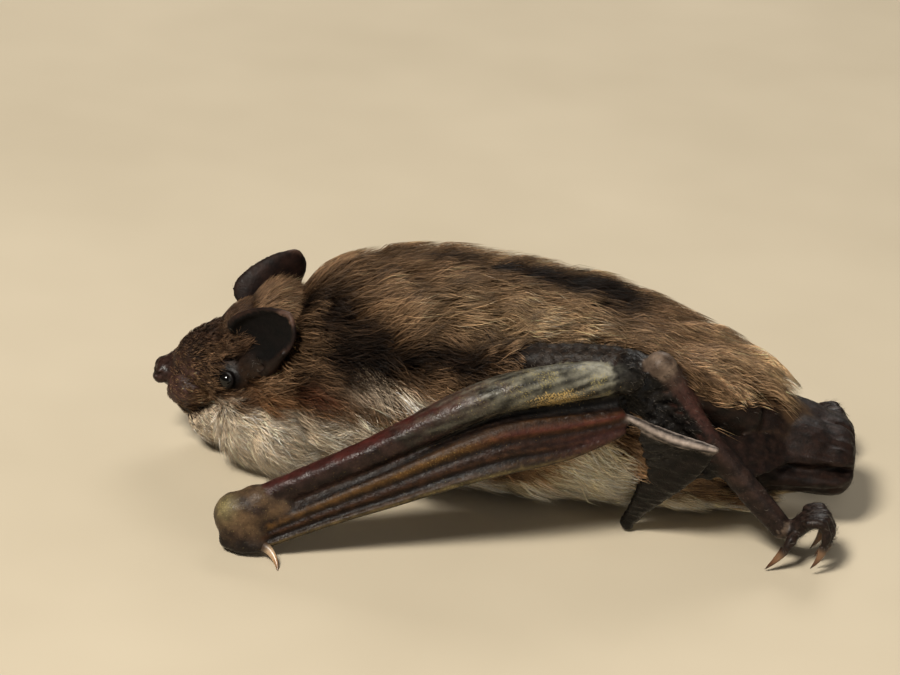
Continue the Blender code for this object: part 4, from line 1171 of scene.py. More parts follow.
def paint_webs(paint, cloud, speck, fibre):
    """The thin dark skin of the wings and of the tail, and the legs, with painted glints near the wing's tip
    and a knee knob lighter partly by a painted sheen.
    """
    t = paint.skin.t
    paint.lay("wing_tip", blend("060504", "130e0c", 0.5 + 0.35 * cloud + 0.2 * fibre), 0.3)
    # Painted glints: grey specks near the wing's tip.
    paint.dust("wing_tip", "4e463e", 0.3 * smooth_step(t, 0.8, 0.95))
    paint.wash("side_membrane", "080707", "191614", cloud, 0.36)
    paint.dust("side_membrane", "68645e", 0.25)
    paint.lay("tail_membrane tail", blend("0f0907", "241712", 0.5 + 0.35 * cloud + 0.25 * fibre), 0.55)
    bare = smooth_step(paint.skin.points[:, 0], 13, 15)
    paint.dust("tail_membrane thigh trunk", "4a3b32", 0.16 * bare)
    paint.wash("shin", "15100e", "2f221d", cloud, 0.42)
    # The knee's knob is lighter grey: partly its own colour and partly a painted sheen on its top.
    paint.wash("shin", "43362d", "6b5b4e", cloud, 0.42, bell(t, 0.0, 0.1))
    paint.lay("shin", tint("4a2d27"), 0.38, 0.6 * bell(t, 0.3, 0.16))
    paint.dust("shin", "6a5a50", 0.15)
    paint.wash("foot", "110c0a", "2c201b", speck, 0.42)
    paint.dust("foot", "6a5a4e", 0.15)


def paint_skin(skin):
    paint = Paint(skin)
    p = skin.points
    cloud, speck = waves(p, 1.6, 21, 3), waves(p, 0.45, 22, 2)
    fibre = waves(p * row(0.35, 1, 1), 0.5, 23, 2)
    paint.wash("trunk thigh", "0f0907", "221611", cloud, 0.5, bare_rump(p))
    paint_face(paint, cloud, speck)
    paint_ears(paint, cloud)
    paint_forearm(paint, cloud, speck)
    paint_arms(paint, cloud, speck)
    paint_hand(paint, fibre)
    paint_webs(paint, cloud, speck, fibre)
    paint.colour *= (0.9 + 0.14 * fibre)[:, None]
    paint.rough = np.clip(paint.rough + 0.06 * speck, 0.15, 0.9)
    return paint


# The lower edge of the fur on the rump: place along X and height. The wing skin below it is bare.
RUMP_LINE = [(12.0, 12.9), (14.4, 12.3), (17.1, 11.4), (20.2, 10.2), (23.0, 9.2)]


def bare_rump(points):
    """1 on the bare skin of the hind flanks, beside the legs and the tail, and 0 on fur."""
    x, y, z = points.T
    below = smooth_step(height_of(RUMP_LINE, x) - z + 0.3 * waves(points, 1.2, 24, 1), -0.2, 0.5)
    return below * smooth_step(x, 12.6, 13.8) * smooth_step(abs(y), 2.0, 3.0) * smooth_step(z, 2.5, 4.0)


# --- the coat ---------------------------------------------------------------------------------------

LONG_HAIRS, LONG_PIECES, LONG_WIDTH = 67000, 6, 0.052
FACE_HAIRS, FACE_PIECES, FACE_WIDTH = 36000, 2, 0.045
SPARSE_HAIRS, SPARSE_WIDTH = 8000, 0.024

TUFT_PATCH = 0.003  # how wide one hair's patch of the unwrap is
UNROLL_HEIGHT, UNROLL_MARGIN = 8.0, 0.002  # the height that the unwrap turns round, and its free edge
SHOULDER_PARTING = (-10.3, 7.7, 12.4)
# Hairs that reach below the first height are bent to lie on the floor, none of them under the second.
BEND_HEIGHT, FLOOR_HEIGHT = 0.3, 0.05


def turned(vectors, axes, angles):
    """Vectors turned about axes by angles in radians."""
    cos, sin = np.cos(angles)[:, None], np.sin(angles)[:, None]
    lengthwise = axes * (vectors * axes).sum(1)[:, None]
    return vectors * cos + np.cross(axes, vectors) * sin + lengthwise * (1 - cos)


def flow_at(points, normals):
    """The lie of the fur: nose to tail, down over the flanks, and parted where the shoulder moves."""
    flow = np.tile(row(1.0, 0, 0), (len(points), 1))
    flow[:, 2] -= 0.34 * (1 - abs(normals[:, 2])) * smooth_step(points[:, 0], -16, -4)
    flow[:, 1] += 0.12 * np.sign(points[:, 1]) * smooth_step(abs(points[:, 1]), 0.5, 3)
    for side in (-1, 1):
        middle = on_side(side, SHOULDER_PARTING)
        flow += unit(points - middle) * near(points, middle, 3.6)[:, None]
    nose = row(-27.5, 0, 6.2)
    from_nose = unit(points - nose) + row(0.25, 0, 0)
    face = smooth_step(-points[:, 0], 15.5, 19.0)[:, None]
    flow = flow * (1 - face) + from_nose * face
    throat = smooth_step(4.6 - points[:, 2], -0.8, 1.2) * smooth_step(-points[:, 0], 9, 13)
    flow += row(0.2, 0, -0.55) * throat[:, None]
    flow[:, 1] += 0.35 * np.sign(points[:, 1]) * throat
    flow -= normals * (flow * normals).sum(1)[:, None]
    wander = 0.34 * waves(points, 5.5, 31, 2) + 0.16 * waves(points, 1.7, 32, 1)
    return turned(unit(flow), normals, wander)


def scattered(skin, density, count):
    """Places on the skin, thick where density is high: their points, normals and depths of coat."""
    a, b, c = (skin.points[skin.triangles[:, k]] for k in range(3))
    area = np.linalg.norm(np.cross(b - a, c - a), axis=1)
    weight = area * density[skin.triangles].mean(1)
    chosen = np.searchsorted(np.cumsum(weight) / weight.sum(), GENERATOR.random(count))
    chosen = np.minimum(chosen, len(weight) - 1)
    r, s = np.sqrt(GENERATOR.random(count)), GENERATOR.random(count)
    shares = np.stack([1 - r, r * (1 - s), r * s], 1)
    corners = skin.triangles[chosen]
    points = (skin.points[corners] * shares[..., None]).sum(1)
    normals = unit((skin.normals[corners] * shares[..., None]).sum(1))
    depths = (skin.depth[corners] * shares).sum(1)
    return points, normals, depths


def pushed_out(places, path, radius):
    """Moves places that lie inside a limb out to its surface."""
    path = np.asarray(path, float)
    low, high = path.min(0) - radius, path.max(0) + radius
    inside = np.nonzero(((places > low) & (places < high)).all(1))[0]
    near_by = places[inside]
    best, closest = np.full(len(near_by), np.inf), np.zeros_like(near_by)
    for a, b in zip(path, path[1:]):
        way = b - a
        t = np.clip(((near_by - a) @ way) / max(way @ way, 1e-12), 0, 1)
        on_line = a + t[:, None] * way
        far = np.linalg.norm(near_by - on_line, axis=1)
        closer = far < best
        best[closer], closest[closer] = far[closer], on_line[closer]
    deep = best < radius
    away = unit(near_by[deep] - closest[deep])
    places[inside[deep]] = closest[deep] + away * (radius + 0.04)
    return places


def limbs_in_the_way():
    """Lines and radii that the hairs have to pass round."""
    found = []
    t = np.linspace(0, 1, 9)
    for pose in POSES.values():
        path = along(forearm_path(pose), t)
        found.append((path, 1.35))
        sections = [hand_section(pose, share) for share in np.linspace(0.02, 0.95, 8)]
        for across in (-0.5, 0.5):
            found.append((np.array([c + o * across * w for c, o, _, w in sections]), 0.85))
        found.append((along(shin_path(pose), t), 1.12))
        found.append((np.array([on_side(pose["side"], place) for place in POUCH_LINE]), 2.3))
    return found


def ears_in_the_way():
    """Lines and radii of the ears' open bowls, in which no hair of the head or the neck lies."""
    found = []
    for pose in POSES.values():
        base, tip = place_of(pose, "ear_base"), place_of(pose, "ear_tip")
        bowl = unit(ear_opening(pose["side"])) * 0.9
        for low, high, out, radius in ((0.55, 0.85, 0.6, 1.9), (0.3, 0.6, 0.1, 1.5)):
            line = [base + (tip - base) * low, base + (tip - base) * high]
            found.append((np.array(line) + bowl * out - row(0.6, 0, 0), radius))
    return found


def inside_coat(places, looseness):
    """Presses places of the body's coat that stand out of its outer surface back to just over it."""
    sizes = body_sizes(places[:, 0])
    half_width, top, bottom = sizes.T
    middle, half_height = (top + bottom) / 2, (top - bottom) / 2
    out = np.hypot(places[:, 1] / half_width, (places[:, 2] - middle) / half_height)
    over = np.maximum(out - 1, 0)
    wanted = np.where(out > 1, 1 + looseness * (1 - np.exp(-over / looseness)), out)
    share = wanted / np.maximum(out, 1e-6)
    pressed = places.copy()
    pressed[:, 1] = places[:, 1] * share
    pressed[:, 2] = middle + (places[:, 2] - middle) * share
    return pressed, out


BEND_STEPS = 24


def bent_lines(lift):
    """How far ahead and above its root a hair of length 1 is, step by step, as it bends back to the skin."""
    start = np.zeros((len(lift), 1))
    angle = lift[:, None] * (1 - 1.12 * np.linspace(0, 1, BEND_STEPS + 1))[None, :]
    ways = (np.cos(angle[:, :-1]), np.sin(angle[:, :-1]))
    return [np.concatenate([start, np.cumsum(way, 1) / BEND_STEPS], 1) for way in ways]


class Hairs:
    """Tapered hairs: where each one is rooted, its middle line, its width and its colours.

    lift(roots, normals) gives the angle at which hairs leave the skin, in radians, and
    length(roots, normals, depths, lift) how long they are. Both are spread a little, at random.
    """

    def __init__(self, skin, density, count, length, lift, width, rings=4, curl=0.2, wave=0.08):
        roots, normals, depths = scattered(skin, density, count)
        self.roots, self.normals = roots, normals
        flow = flow_at(roots, normals)
        flow = turned(flow, normals, GENERATOR.normal(0, 0.12, count))
        lift = lift(roots, normals) * np.clip(np.exp(GENERATOR.normal(0, 0.16, count)), 0, 1.25)
        length = length(roots, normals, depths, lift) * np.exp(GENERATOR.normal(0, 0.16, count))
        s = np.linspace(0, 1, rings)
        ahead, above = bent_lines(lift)
        length = np.minimum(length, (depths * 1.03 + 0.05) / above.max(1))
        pick = np.round(s * BEND_STEPS).astype(int)
        ahead, above = ahead[:, pick] * length[:, None], above[:, pick] * length[:, None]
        lines = roots[:, None] - normals[:, None] * 0.06
        lines = lines + flow[:, None] * ahead[..., None] + normals[:, None] * above[..., None]
        sideways = np.cross(normals, flow)
        stray = GENERATOR.normal(0, curl, count)[:, None] * (s**2)[None, :]
        phase = 2.2 * waves(roots, 2.6, 33, 2) + GENERATOR.normal(0, 0.5, count)
        stray = stray + wave * (np.sin(phase[:, None] * 2 + s[None, :] * 5.5) - np.sin(phase * 2)[:, None])
        self.lines = lines + sideways[:, None] * (stray * length[:, None])[..., None]
        self.s, self.length = s, length
        self.width = width * np.exp(GENERATOR.normal(0, 0.14, count))
        self.lock_tone = np.ones(count)

    def keep(self, chosen):
        """Drops the hairs that aren't chosen."""
        for name in ("roots", "normals", "lines", "length", "width", "lock_tone"):
            setattr(self, name, getattr(self, name)[chosen])

    def clear_of(self, limbs):
        """Drops the hairs that run into limbs."""
        places = self.lines.reshape(-1, 3)
        touched = np.zeros(len(places), bool)
        for path, radius in limbs:
            touched |= to_path(places, path)[0] < radius
        self.keep(~touched.reshape(self.lines.shape[:2]).any(1))

    def gather(self, share, pull, tone=0.0):
        """Draws the hairs together towards one in so many of them, more and more towards the tips."""
        count = len(self.roots)
        leaders = GENERATOR.choice(count, max(count // share, 1), replace=False)
        places = nearest_in(tree_of(self.roots[leaders]), self.roots)
        nearest = leaders[places]
        far = np.linalg.norm(self.roots - self.roots[nearest], axis=1)
        hold = pull * np.exp(-((far / 1.6) ** 2)) * GENERATOR.uniform(0.6, 1.0, count)
        share = hold[:, None] * (self.s**1.4)[None, :]
        self.lines += (self.lines[nearest] - self.lines) * share[..., None]
        self.lock_tone *= np.exp(GENERATOR.normal(0, tone, len(leaders)))[places]

    def settle(self, limbs, looseness=0.0):
        """Keeps the hairs out of the limbs, inside the coat's outer surface and above the floor."""
        count, rings = self.lines.shape[:2]
        places = self.lines[:, 1:].reshape(-1, 3)
        if looseness:
            rooted_inside = np.repeat(inside_coat(self.roots, looseness)[1] < 0.99, rings - 1)
            loose = looseness * (1 + smooth_step(places[:, 0], 13, 18))
            places = np.where(rooted_inside[:, None], inside_coat(places, loose)[0], places)
        for path, radius in limbs:
            places = pushed_out(places, path, radius)
        height = places[:, 2]
        bent = FLOOR_HEIGHT + 0.25 * np.exp((height - BEND_HEIGHT) / 0.6)
        places[:, 2] = np.where(height < BEND_HEIGHT, bent, height)
        self.lines[:, 1:] = places.reshape(count, rings - 1, 3)

    def paint(self, tone_spread=0.32, dark_share=0.26, light_and_glint_share=0.14):
        """Colours from root to tip, with darker hairs and lighter hairs among them; the lighter ones are
        partly painted glints.
        """
        root, middle, tip = fur_colours(self.lines[:, -2:].mean(1))
        count = len(self.roots)
        tone = np.exp(GENERATOR.normal(0, tone_spread, count)) * self.lock_tone
        kind = GENERATOR.random(count)
        tone = np.where(kind < dark_share, tone * 0.42, tone)
        # Partly painted glints: one hair in so many is made lighter.
        tone = np.where(kind > 1 - light_and_glint_share, tone * 1.65, tone)[:, None]
        colours = []
        for s in self.s:
            if s < 0.5:
                colour = mixed(root, middle, np.full(count, smooth_step(s, 0.05, 0.5)))
            else:
                colour = mixed(middle, tip, np.full(count, smooth_step(s, 0.5, 1.0) * 0.9))
            colours.append(colour * (1 + (tone - 1) * (0.4 + 0.6 * s)))
        self.colours = np.clip(np.stack(colours, 1), 0.0012, 0.95)

    def pieces(self, name, finish, slot, number):
        """Joined meshes of closed hairs, each with every number-th hair of the whole coat."""
        order = GENERATOR.permutation(len(self.roots))
        for k in range(number):
            label = name if number == 1 else f"{name}_{k + 1}"
            self.piece(label, order[k::number], finish, slot)

    def piece(self, name, chosen, finish, slot):
        """One mesh of hairs that are triangles in section, each with its own patch of the unwrap."""
        lines, normals, width = self.lines[chosen], self.normals[chosen], self.width[chosen]
        count, rings = lines.shape[:2]
        ahead = unit(np.gradient(lines, axis=1))
        sideways = unit(np.cross(ahead, normals[:, None]))
        above = np.cross(sideways, ahead)
        thick = (1 - self.s[:-1] ** 1.6 * 0.72)[None, :, None, None] * width[:, None, None, None] / 2
        turn = 2 * np.pi * np.arange(3) / 3 + 0.5
        around = np.cos(turn)[None, None, :, None] * sideways[:, :-1, None] * 1.15
        around = around + np.sin(turn)[None, None, :, None] * above[:, :-1, None] * 0.85
        ringed = lines[:, :-1, None] + around * thick
        points = np.concatenate([ringed.reshape(count, -1, 3), lines[:, -1:]], 1)
        per = points.shape[1]
        points[..., 2] = np.maximum(points[..., 2], 0.01)
        faces = [(0, 2, 1)]
        for i in range(rings - 2):
            for j in range(3):
                a, b = i * 3 + j, i * 3 + (j + 1) % 3
                faces += [(a, b, b + 3), (a, b + 3, a + 3)]
        last = (rings - 2) * 3
        faces += [(last + j, last + (j + 1) % 3, per - 1) for j in range(3)]
        faces = np.array(faces)
        loops = (faces[None] + (np.arange(count) * per)[:, None, None]).reshape(-1)
        colours = self.colours[chosen]
        colours = np.concatenate([np.repeat(colours[:, :-1], 3, axis=1), colours[:, -1:]], 1)
        patch_u = np.concatenate([np.tile([0, 0.5, 1.0], rings - 1), [0.5]])
        patch_v = np.concatenate([np.repeat(self.s[:-1], 3), [1.0]])
        place = unwrapped(self.roots[chosen])
        uv = place[:, None] + np.stack([patch_u, patch_v], 1)[None] * TUFT_PATCH
        mesh = mesh_from(name, points.reshape(-1, 3), loops.reshape(-1, 3))
        add_colours(mesh, colours.reshape(-1, 3))
        layer = mesh.uv_layers.new(name="OFBake")
        layer.data.foreach_set("uv", uv.reshape(-1, 2)[loops].astype(np.float32).ravel())
        new_piece(name, mesh, finish, slot)


def unwrapped(points):
    """The skin's own shape unrolled round the line from the head to the tail, from 0 to 1."""
    turn = np.arctan2(points[:, 1], points[:, 2] - UNROLL_HEIGHT) / (2 * np.pi) + 0.5
    low, high = points[:, 0].min(), points[:, 0].max()
    ahead = (points[:, 0] - low) / max(high - low, 1e-6)
    return UNROLL_MARGIN + np.stack([turn, ahead], 1) * (1 - TUFT_PATCH - 2 * UNROLL_MARGIN)


def mesh_from(name, points, triangles):
    """A mesh of triangles, with points in millimetres."""
    mesh = bpy.data.meshes.new(name)
    mesh.vertices.add(len(points))
    mesh.loops.add(triangles.size)
    mesh.polygons.add(len(triangles))
    mesh.vertices.foreach_set("co", (points * MM).astype(np.float32).ravel())
    mesh.loops.foreach_set("vertex_index", triangles.astype(np.int32).ravel())
    mesh.polygons.foreach_set("loop_start", np.arange(0, triangles.size, 3, dtype=np.int32))
    mesh.update(calc_edges=True)
    mesh.shade_smooth()
    return mesh


def add_colours(mesh, colours, name="coat"):
    layer = mesh.color_attributes.new(name, "FLOAT_COLOR", "POINT")
    rgba = np.ones((len(colours), 4), np.float32)
    rgba[:, :3] = colours
    layer.data.foreach_set("color", rgba.ravel())


def new_piece(name, mesh, finish, slot, *nodes):
    made = new_object(name, mesh)
    mesh.materials.append(finish)
    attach(made, "root")
    if nodes:
        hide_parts(*nodes)


def coat_depth(points, normals):
    """How thick the coat of the trunk is."""
    up = np.clip(normals[:, 2], -1, 1)
    change = np.where(up > 0, BACK_DEPTH - FLANK_DEPTH, FLANK_DEPTH - BELLY_DEPTH)
    return (FLANK_DEPTH + change * up) * thinning(points[:, 0])


# How deep the coat of the head is: places along X and depths.
HEAD_DEPTHS = [(-26.5, 0.06), (-25.0, 0.12), (-23.0, 0.36), (-21.0, 0.75), (-19.5, 1.05), (-17.0, 1.1)]
THIGH_DEPTH, BARE_DEPTH = 0.4, 0.22


def coat_depths(skin):
    """How far the coat may stand over the skin at each of its points."""
    x, _, z = skin.points.T
    low = smooth_step(5.6 - z, -1.0, 1.6)
    head = height_of(HEAD_DEPTHS, x) + 0.35 * low * smooth_step(x, -25.0, -22.0)
    upper = 0.85 - 0.65 * smooth_step(skin.t, 0.3, 0.55)
    total = skin.part("trunk") * coat_depth(skin.points, skin.normals) + skin.part("head") * head
    total = total + skin.part("thigh") * THIGH_DEPTH + skin.part("upper_arm") * upper
    known = skin.part("trunk", "head", "thigh", "upper_arm")
    return total + np.clip(1 - known, 0, 1) * BARE_DEPTH


def long_lift(points, normals):
    return 0.62 + 0.25 * smooth_step(points[:, 0], 13, 20) + 0.14 * waves(points, 4.0, 41, 1)


def long_length(points, normals, depths, lift):
    return np.clip(depths / ((1 - np.cos(lift)) / lift), 0.9, 4.6)


# How long the hairs of the face are: places along X and lengths.
FACE_LENGTHS = [(-26.5, 0.35), (-25.0, 0.5), (-22.5, 1.1), (-20.5, 2.0), (-18.0, 2.6)]


def face_length(points, normals, depths, lift):
    """Very short on the muzzle, longer on the cheeks, the throat and the forehead."""
    x, _, z = points.T
    length = height_of(FACE_LENGTHS, x)
    length = length + smooth_step(normals[:, 2], 0.3, 0.8) * bell(x, -19.8, 2.4)
    return length + 0.5 * smooth_step(5.0 - z, -0.5, 1.5) * smooth_step(x, -24, -20)


def face_lift(points, normals):
    crown = smooth_step(normals[:, 2], 0.2, 0.8)
    return 0.5 + 0.7 * crown + 0.12 * waves(points, 1.5, 42, 1)


def short_length(points, normals, depths, lift):
    return np.full(len(points), 0.55)


def short_lift(points, normals):
    return np.full(len(points), 0.6)


def bare_flank(points):
    """1 over the bare skin round the elbow and the knee and on the tail, where the coat's hairs end."""
    bare = smooth_step(points[:, 0] + 0.35 * waves(points, 1.5, 43, 2), 20.9, 22.1)
    for pose in POSES.values():
        elbow, knee = place_of(pose, "elbow"), place_of(pose, "knee")
        middle = (elbow + knee) / 2 + row(-1.6, -pose["side"] * 1.4, 0.0)
        bare = bare + 1.6 * near(points, middle, 2.7, 2.3, 1.7)
        bare = bare + 1.2 * near(points, (elbow + knee) / 2, 2.0, 2.0, 2.0)
        bare = bare + 1.6 * near(points, (16.0, pose["side"] * 6.8, 9.4), 2.4, 2.6, 1.7)
    return np.clip(bare * 1.3 - 0.25, 0, 1)


def make_body_coat(skin, fur, bare_ears):
    """The long fur of the trunk, the thighs and the shoulders, gathered in locks."""
    body = skin.part("trunk", "thigh") + skin.part("upper_arm") * (1 - smooth_step(skin.t, 0.4, 0.62))
    touching = 1 - 0.75 * smooth_step(0.6 - skin.points[:, 2], 0, 0.5)
    furred = smooth_step(body, 0.35, 0.7) * touching * bare_ears * (1 - bare_rump(skin.points))
    coat = Hairs(skin, furred, LONG_HAIRS, long_length, long_lift, LONG_WIDTH)
    coat.clear_of(ears_in_the_way())
    coat.keep(GENERATOR.random(len(coat.roots)) > bare_flank(coat.lines[:, -2:].mean(1)))
    coat.gather(120, 0.4, 0.26)
    coat.gather(18, 0.6, 0.3)
    coat.settle(limbs_in_the_way(), 0.03)
    coat.paint()
    coat.pieces("coat", fur, "brown_fur", LONG_PIECES)


def make_face_coat(skin, fur, bare_ears, from_eye):
    """The short fur of the head, with the nose and the eyes left bare."""
    x = skin.points[:, 0]
    muzzle = smooth_step(-x, 22.6, 24.8)
    bald = smooth_step(from_eye, 1.1, 1.6) * (1 - 0.72 * muzzle) * (1 - smooth_step(-x, 25.6, 26.0))
    furred = smooth_step(skin.part("head"), 0.4, 0.7) * bald * bare_ears
    face = Hairs(skin, furred, FACE_HAIRS, face_length, face_lift, FACE_WIDTH, rings=3, curl=0.15)
    face.clear_of(ears_in_the_way())
    face.gather(10, 0.35, 0.2)
    face.settle(limbs_in_the_way())
    face.paint(0.35)
    face.pieces("face_coat", fur, "face_fur", FACE_PIECES)


# The pale and the dark sparse hairs: their colour, and how light it is at the root, the middle and the tip.
# The pale hairs are partly painted highlights: the wet glints on the bare skin of the upper arm and round
# the elbow.
DOWN_SHADES = (("6d665e", (0.4, 0.8, 1.1)), ("1a1310", (0.5, 0.8, 1.0)))


def make_down(skin, fur, from_eye):
    """Sparse short hairs on the upper arm, the membranes, the ears' backs, the legs and the hind flanks."""
    x, _, z = skin.points.T
    sparse = 0.8 * skin.part("upper_arm") * smooth_step(skin.t, 0.36, 0.48)
    webs = 0.4 * skin.part("side_membrane") * smooth_step(z, 8.5, 10.0) + 0.03 * skin.part("tail_membrane")
    sparse += webs + 0.15 * skin.part("shin")
    sparse += 0.3 * skin.part("ear") * (1 - skin.u) * (1 - smooth_step(skin.t, 0.3, 0.6))
    sparse += 0.5 * skin.part("head") * smooth_step(x, -22.5, -21) * smooth_step(from_eye, 1.0, 1.3)
    covered = 1 - bare_rump(skin.points)
    sparse += 0.5 * skin.part("foot", "elbow") + 0.12 * skin.part("trunk", "thigh") * (1 - covered)
    down = Hairs(skin, sparse, SPARSE_HAIRS, short_length, short_lift, SPARSE_WIDTH, rings=3, curl=0.4)
    down.settle([])
    down.paint(0.3)
    # The pale ones stand partly for painted wet glints on the upper arm and round the elbow.
    pale = GENERATOR.random(len(down.roots)) < 0.3
    for chosen, (code, shares) in zip((pale, ~pale), DOWN_SHADES):
        down.colours[chosen] = tint(code) * np.array(shares)[None, :, None]
    down.pieces("membrane_hairs", fur, "wing_skin", 1)


def make_coat(skin, fur):
    bare_ears = 1 - smooth_step(skin.part("ear", "tragus"), 0.1, 0.5)
    from_eye = np.minimum(*[np.linalg.norm(skin.points - on_side(side, EYE), axis=1) for side in (-1, 1)])
    make_body_coat(skin, fur, bare_ears)
    make_face_coat(skin, fur, bare_ears, from_eye)
    make_down(skin, fur, from_eye)


# --- materials --------------------------------------------------------------------------------------

SPECK_LEVEL, SPECK_FALL = 0.67, 0.24  # the noise's height where specks start, and how far it falls at most


class Finish:
    """A node material under construction."""

    def __init__(self, name, roughness=0.5, specular=0.5):
        self.material = bpy.data.materials.new(name)
        self.material.use_nodes = True
        self.tree = self.material.node_tree
        self.shader = self.tree.nodes["Principled BSDF"]
        self.shader.inputs["Roughness"].default_value = roughness
        self.shader.inputs["Specular IOR Level"].default_value = specular
        self.place = self.tree.nodes.new("ShaderNodeTexCoord").outputs["Object"]

    def node(self, kind, **settings):
        made = self.tree.nodes.new(kind)
        for key, value in settings.items():
            setattr(made, key, value)
        return made

    def link(self, one, two):
        self.tree.links.new(one, two)

    def attribute(self, name, output="Fac"):
        return self.node("ShaderNodeAttribute", attribute_name=name).outputs[output]

    def texture(self, kind, size, **settings):
        """A texture node whose features are size millimetres across."""
        made = self.node(kind, **settings)
        self.link(self.place, made.inputs["Vector"])
        made.inputs["Scale"].default_value = 1 / (size * MM)
        return made

    def noise(self, size, detail=3.0, roughness=0.6):
        made = self.texture("ShaderNodeTexNoise", size)
        made.inputs["Detail"].default_value = detail
        made.inputs["Roughness"].default_value = roughness
        return made.outputs["Fac"]

    def pebbles(self, size):
        return self.texture("ShaderNodeTexVoronoi", size, feature="SMOOTH_F1").outputs["Distance"]

    def ranged(self, value, low, high, to_low, to_high):
        made = self.node("ShaderNodeMapRange")
        self.link(value, made.inputs["Value"])
        sockets = ("From Min", "From Max", "To Min", "To Max")
        for socket, number in zip(sockets, (low, high, to_low, to_high)):
            made.inputs[socket].default_value = number
        return made.outputs["Result"]

    def painted(self, low, high, size, detail=3.0, specks=0.0):
        """The colour of the markings, lightened and darkened by noise, with the paint's specks over it."""
        colour = self.attribute("coat", "Color")
        shade = self.ranged(self.noise(size, detail), 0.3, 0.7, low, high)
        scaled = self.node("ShaderNodeVectorMath", operation="SCALE")
        self.link(colour, scaled.inputs[0])
        self.link(shade, scaled.inputs["Scale"])
        found = scaled.outputs["Vector"]
        if specks:
            found = self.speckled(found, specks)
        self.link(found, self.shader.inputs["Base Color"])

    def speckled(self, colour, size):
        """Specks where fine noise rises over a level that falls as more of the surface is specked."""
        amount = self.attribute("specked")
        level = self.node("ShaderNodeMath", operation="MULTIPLY_ADD")
        self.link(amount, level.inputs[0])
        level.inputs[1].default_value, level.inputs[2].default_value = -SPECK_FALL, SPECK_LEVEL
        over = self.node("ShaderNodeMath", operation="SUBTRACT")
        self.link(self.noise(size, 2.0, 0.7), over.inputs[0])
        self.link(level.outputs[0], over.inputs[1])
        share = self.ranged(over.outputs[0], 0.0, 0.16, 0.0, 0.75)
        speck = self.attribute("speck", "Color")
        mix = self.node("ShaderNodeMix", data_type="VECTOR")
        self.link(share, mix.inputs["Factor"])
        self.link(colour, mix.inputs[4])
        self.link(speck, mix.inputs[5])
        return mix.outputs[1]

    def coloured(self, dark, light, size):
        """A colour that wanders between two."""
        ramp = self.node("ShaderNodeValToRGB")
        self.link(self.noise(size), ramp.inputs["Fac"])
        for stop, position, code in zip(ramp.color_ramp.elements, (0.35, 0.65), (dark, light)):
            stop.position, stop.color = position, (*tint(code), 1)
        self.link(ramp.outputs["Color"], self.shader.inputs["Base Color"])

    def bumped(self, *layers):
        """Relief from (height, strength, depth in millimetres) layers."""
        normal = None
        for height, strength, depth in layers:
            bump = self.node("ShaderNodeBump")
            bump.inputs["Strength"].default_value = strength
            bump.inputs["Distance"].default_value = depth * MM
            self.link(height, bump.inputs["Height"])
            if normal:
                self.link(normal, bump.inputs["Normal"])
            normal = bump.outputs["Normal"]
        self.link(normal, self.shader.inputs["Normal"])


def skin_finish():
    finish = Finish("bat skin", specular=0.15)
    finish.painted(0.7, 1.3, 0.4, specks=0.11)
    rough = finish.attribute("dryness")
    wander = finish.ranged(finish.noise(0.5, 2.0), 0.3, 0.7, -0.08, 0.08)
    total = finish.node("ShaderNodeMath", operation="ADD", use_clamp=True)
    finish.link(rough, total.inputs[0])
    finish.link(wander, total.inputs[1])
    finish.link(total.outputs[0], finish.shader.inputs["Roughness"])
    finish.bumped(
        (finish.noise(0.5, 4.0, 0.65), 0.4, 0.05),
        (finish.pebbles(0.15), 0.4, 0.05),
        (finish.noise(0.09, 2.0), 0.4, 0.02),
    )
    return finish.material


def fur_finish():
    finish = Finish("bat fur", roughness=0.45, specular=0.16)
    finish.painted(0.8, 1.2, 0.9, 2.0)
    return finish.material


def eye_finish():
    finish = Finish("bat eye", roughness=0.05, specular=0.4)
    finish.coloured("030303", "080605", 0.5)
    return finish.material


def claw_finish():
    finish = Finish("bat claw", roughness=0.28, specular=0.5)
    finish.painted(0.85, 1.15, 0.2)
    finish.bumped((finish.noise(0.12), 0.3, 0.02))
    return finish.material


def floor_finish():
    finish = Finish("studio floor", roughness=0.85, specular=0.2)
    finish.coloured("b9ad97", "c1b59f", 40.0)
    return finish.material


# --- eyes and claws ---------------------------------------------------------------------------------


def make_eye(where, pose, finish):
    bm = bmesh.new()
    place = Matrix.Translation(on_side(pose["side"], EYE))
    bmesh.ops.create_uvsphere(bm, u_segments=48, v_segments=32, radius=EYE_RADIUS, matrix=place)
    bmesh.ops.triangulate(bm, faces=bm.faces)
    points = np.array([v.co for v in bm.verts])
    triangles = np.array([[v.index for v in f.verts] for f in bm.faces])
    bm.free()
    mesh = mesh_from(f"eyeball_{where}", points, triangles)
    new_piece(f"eyeball_{where}", mesh, finish, "eye", f"eye_{where}")


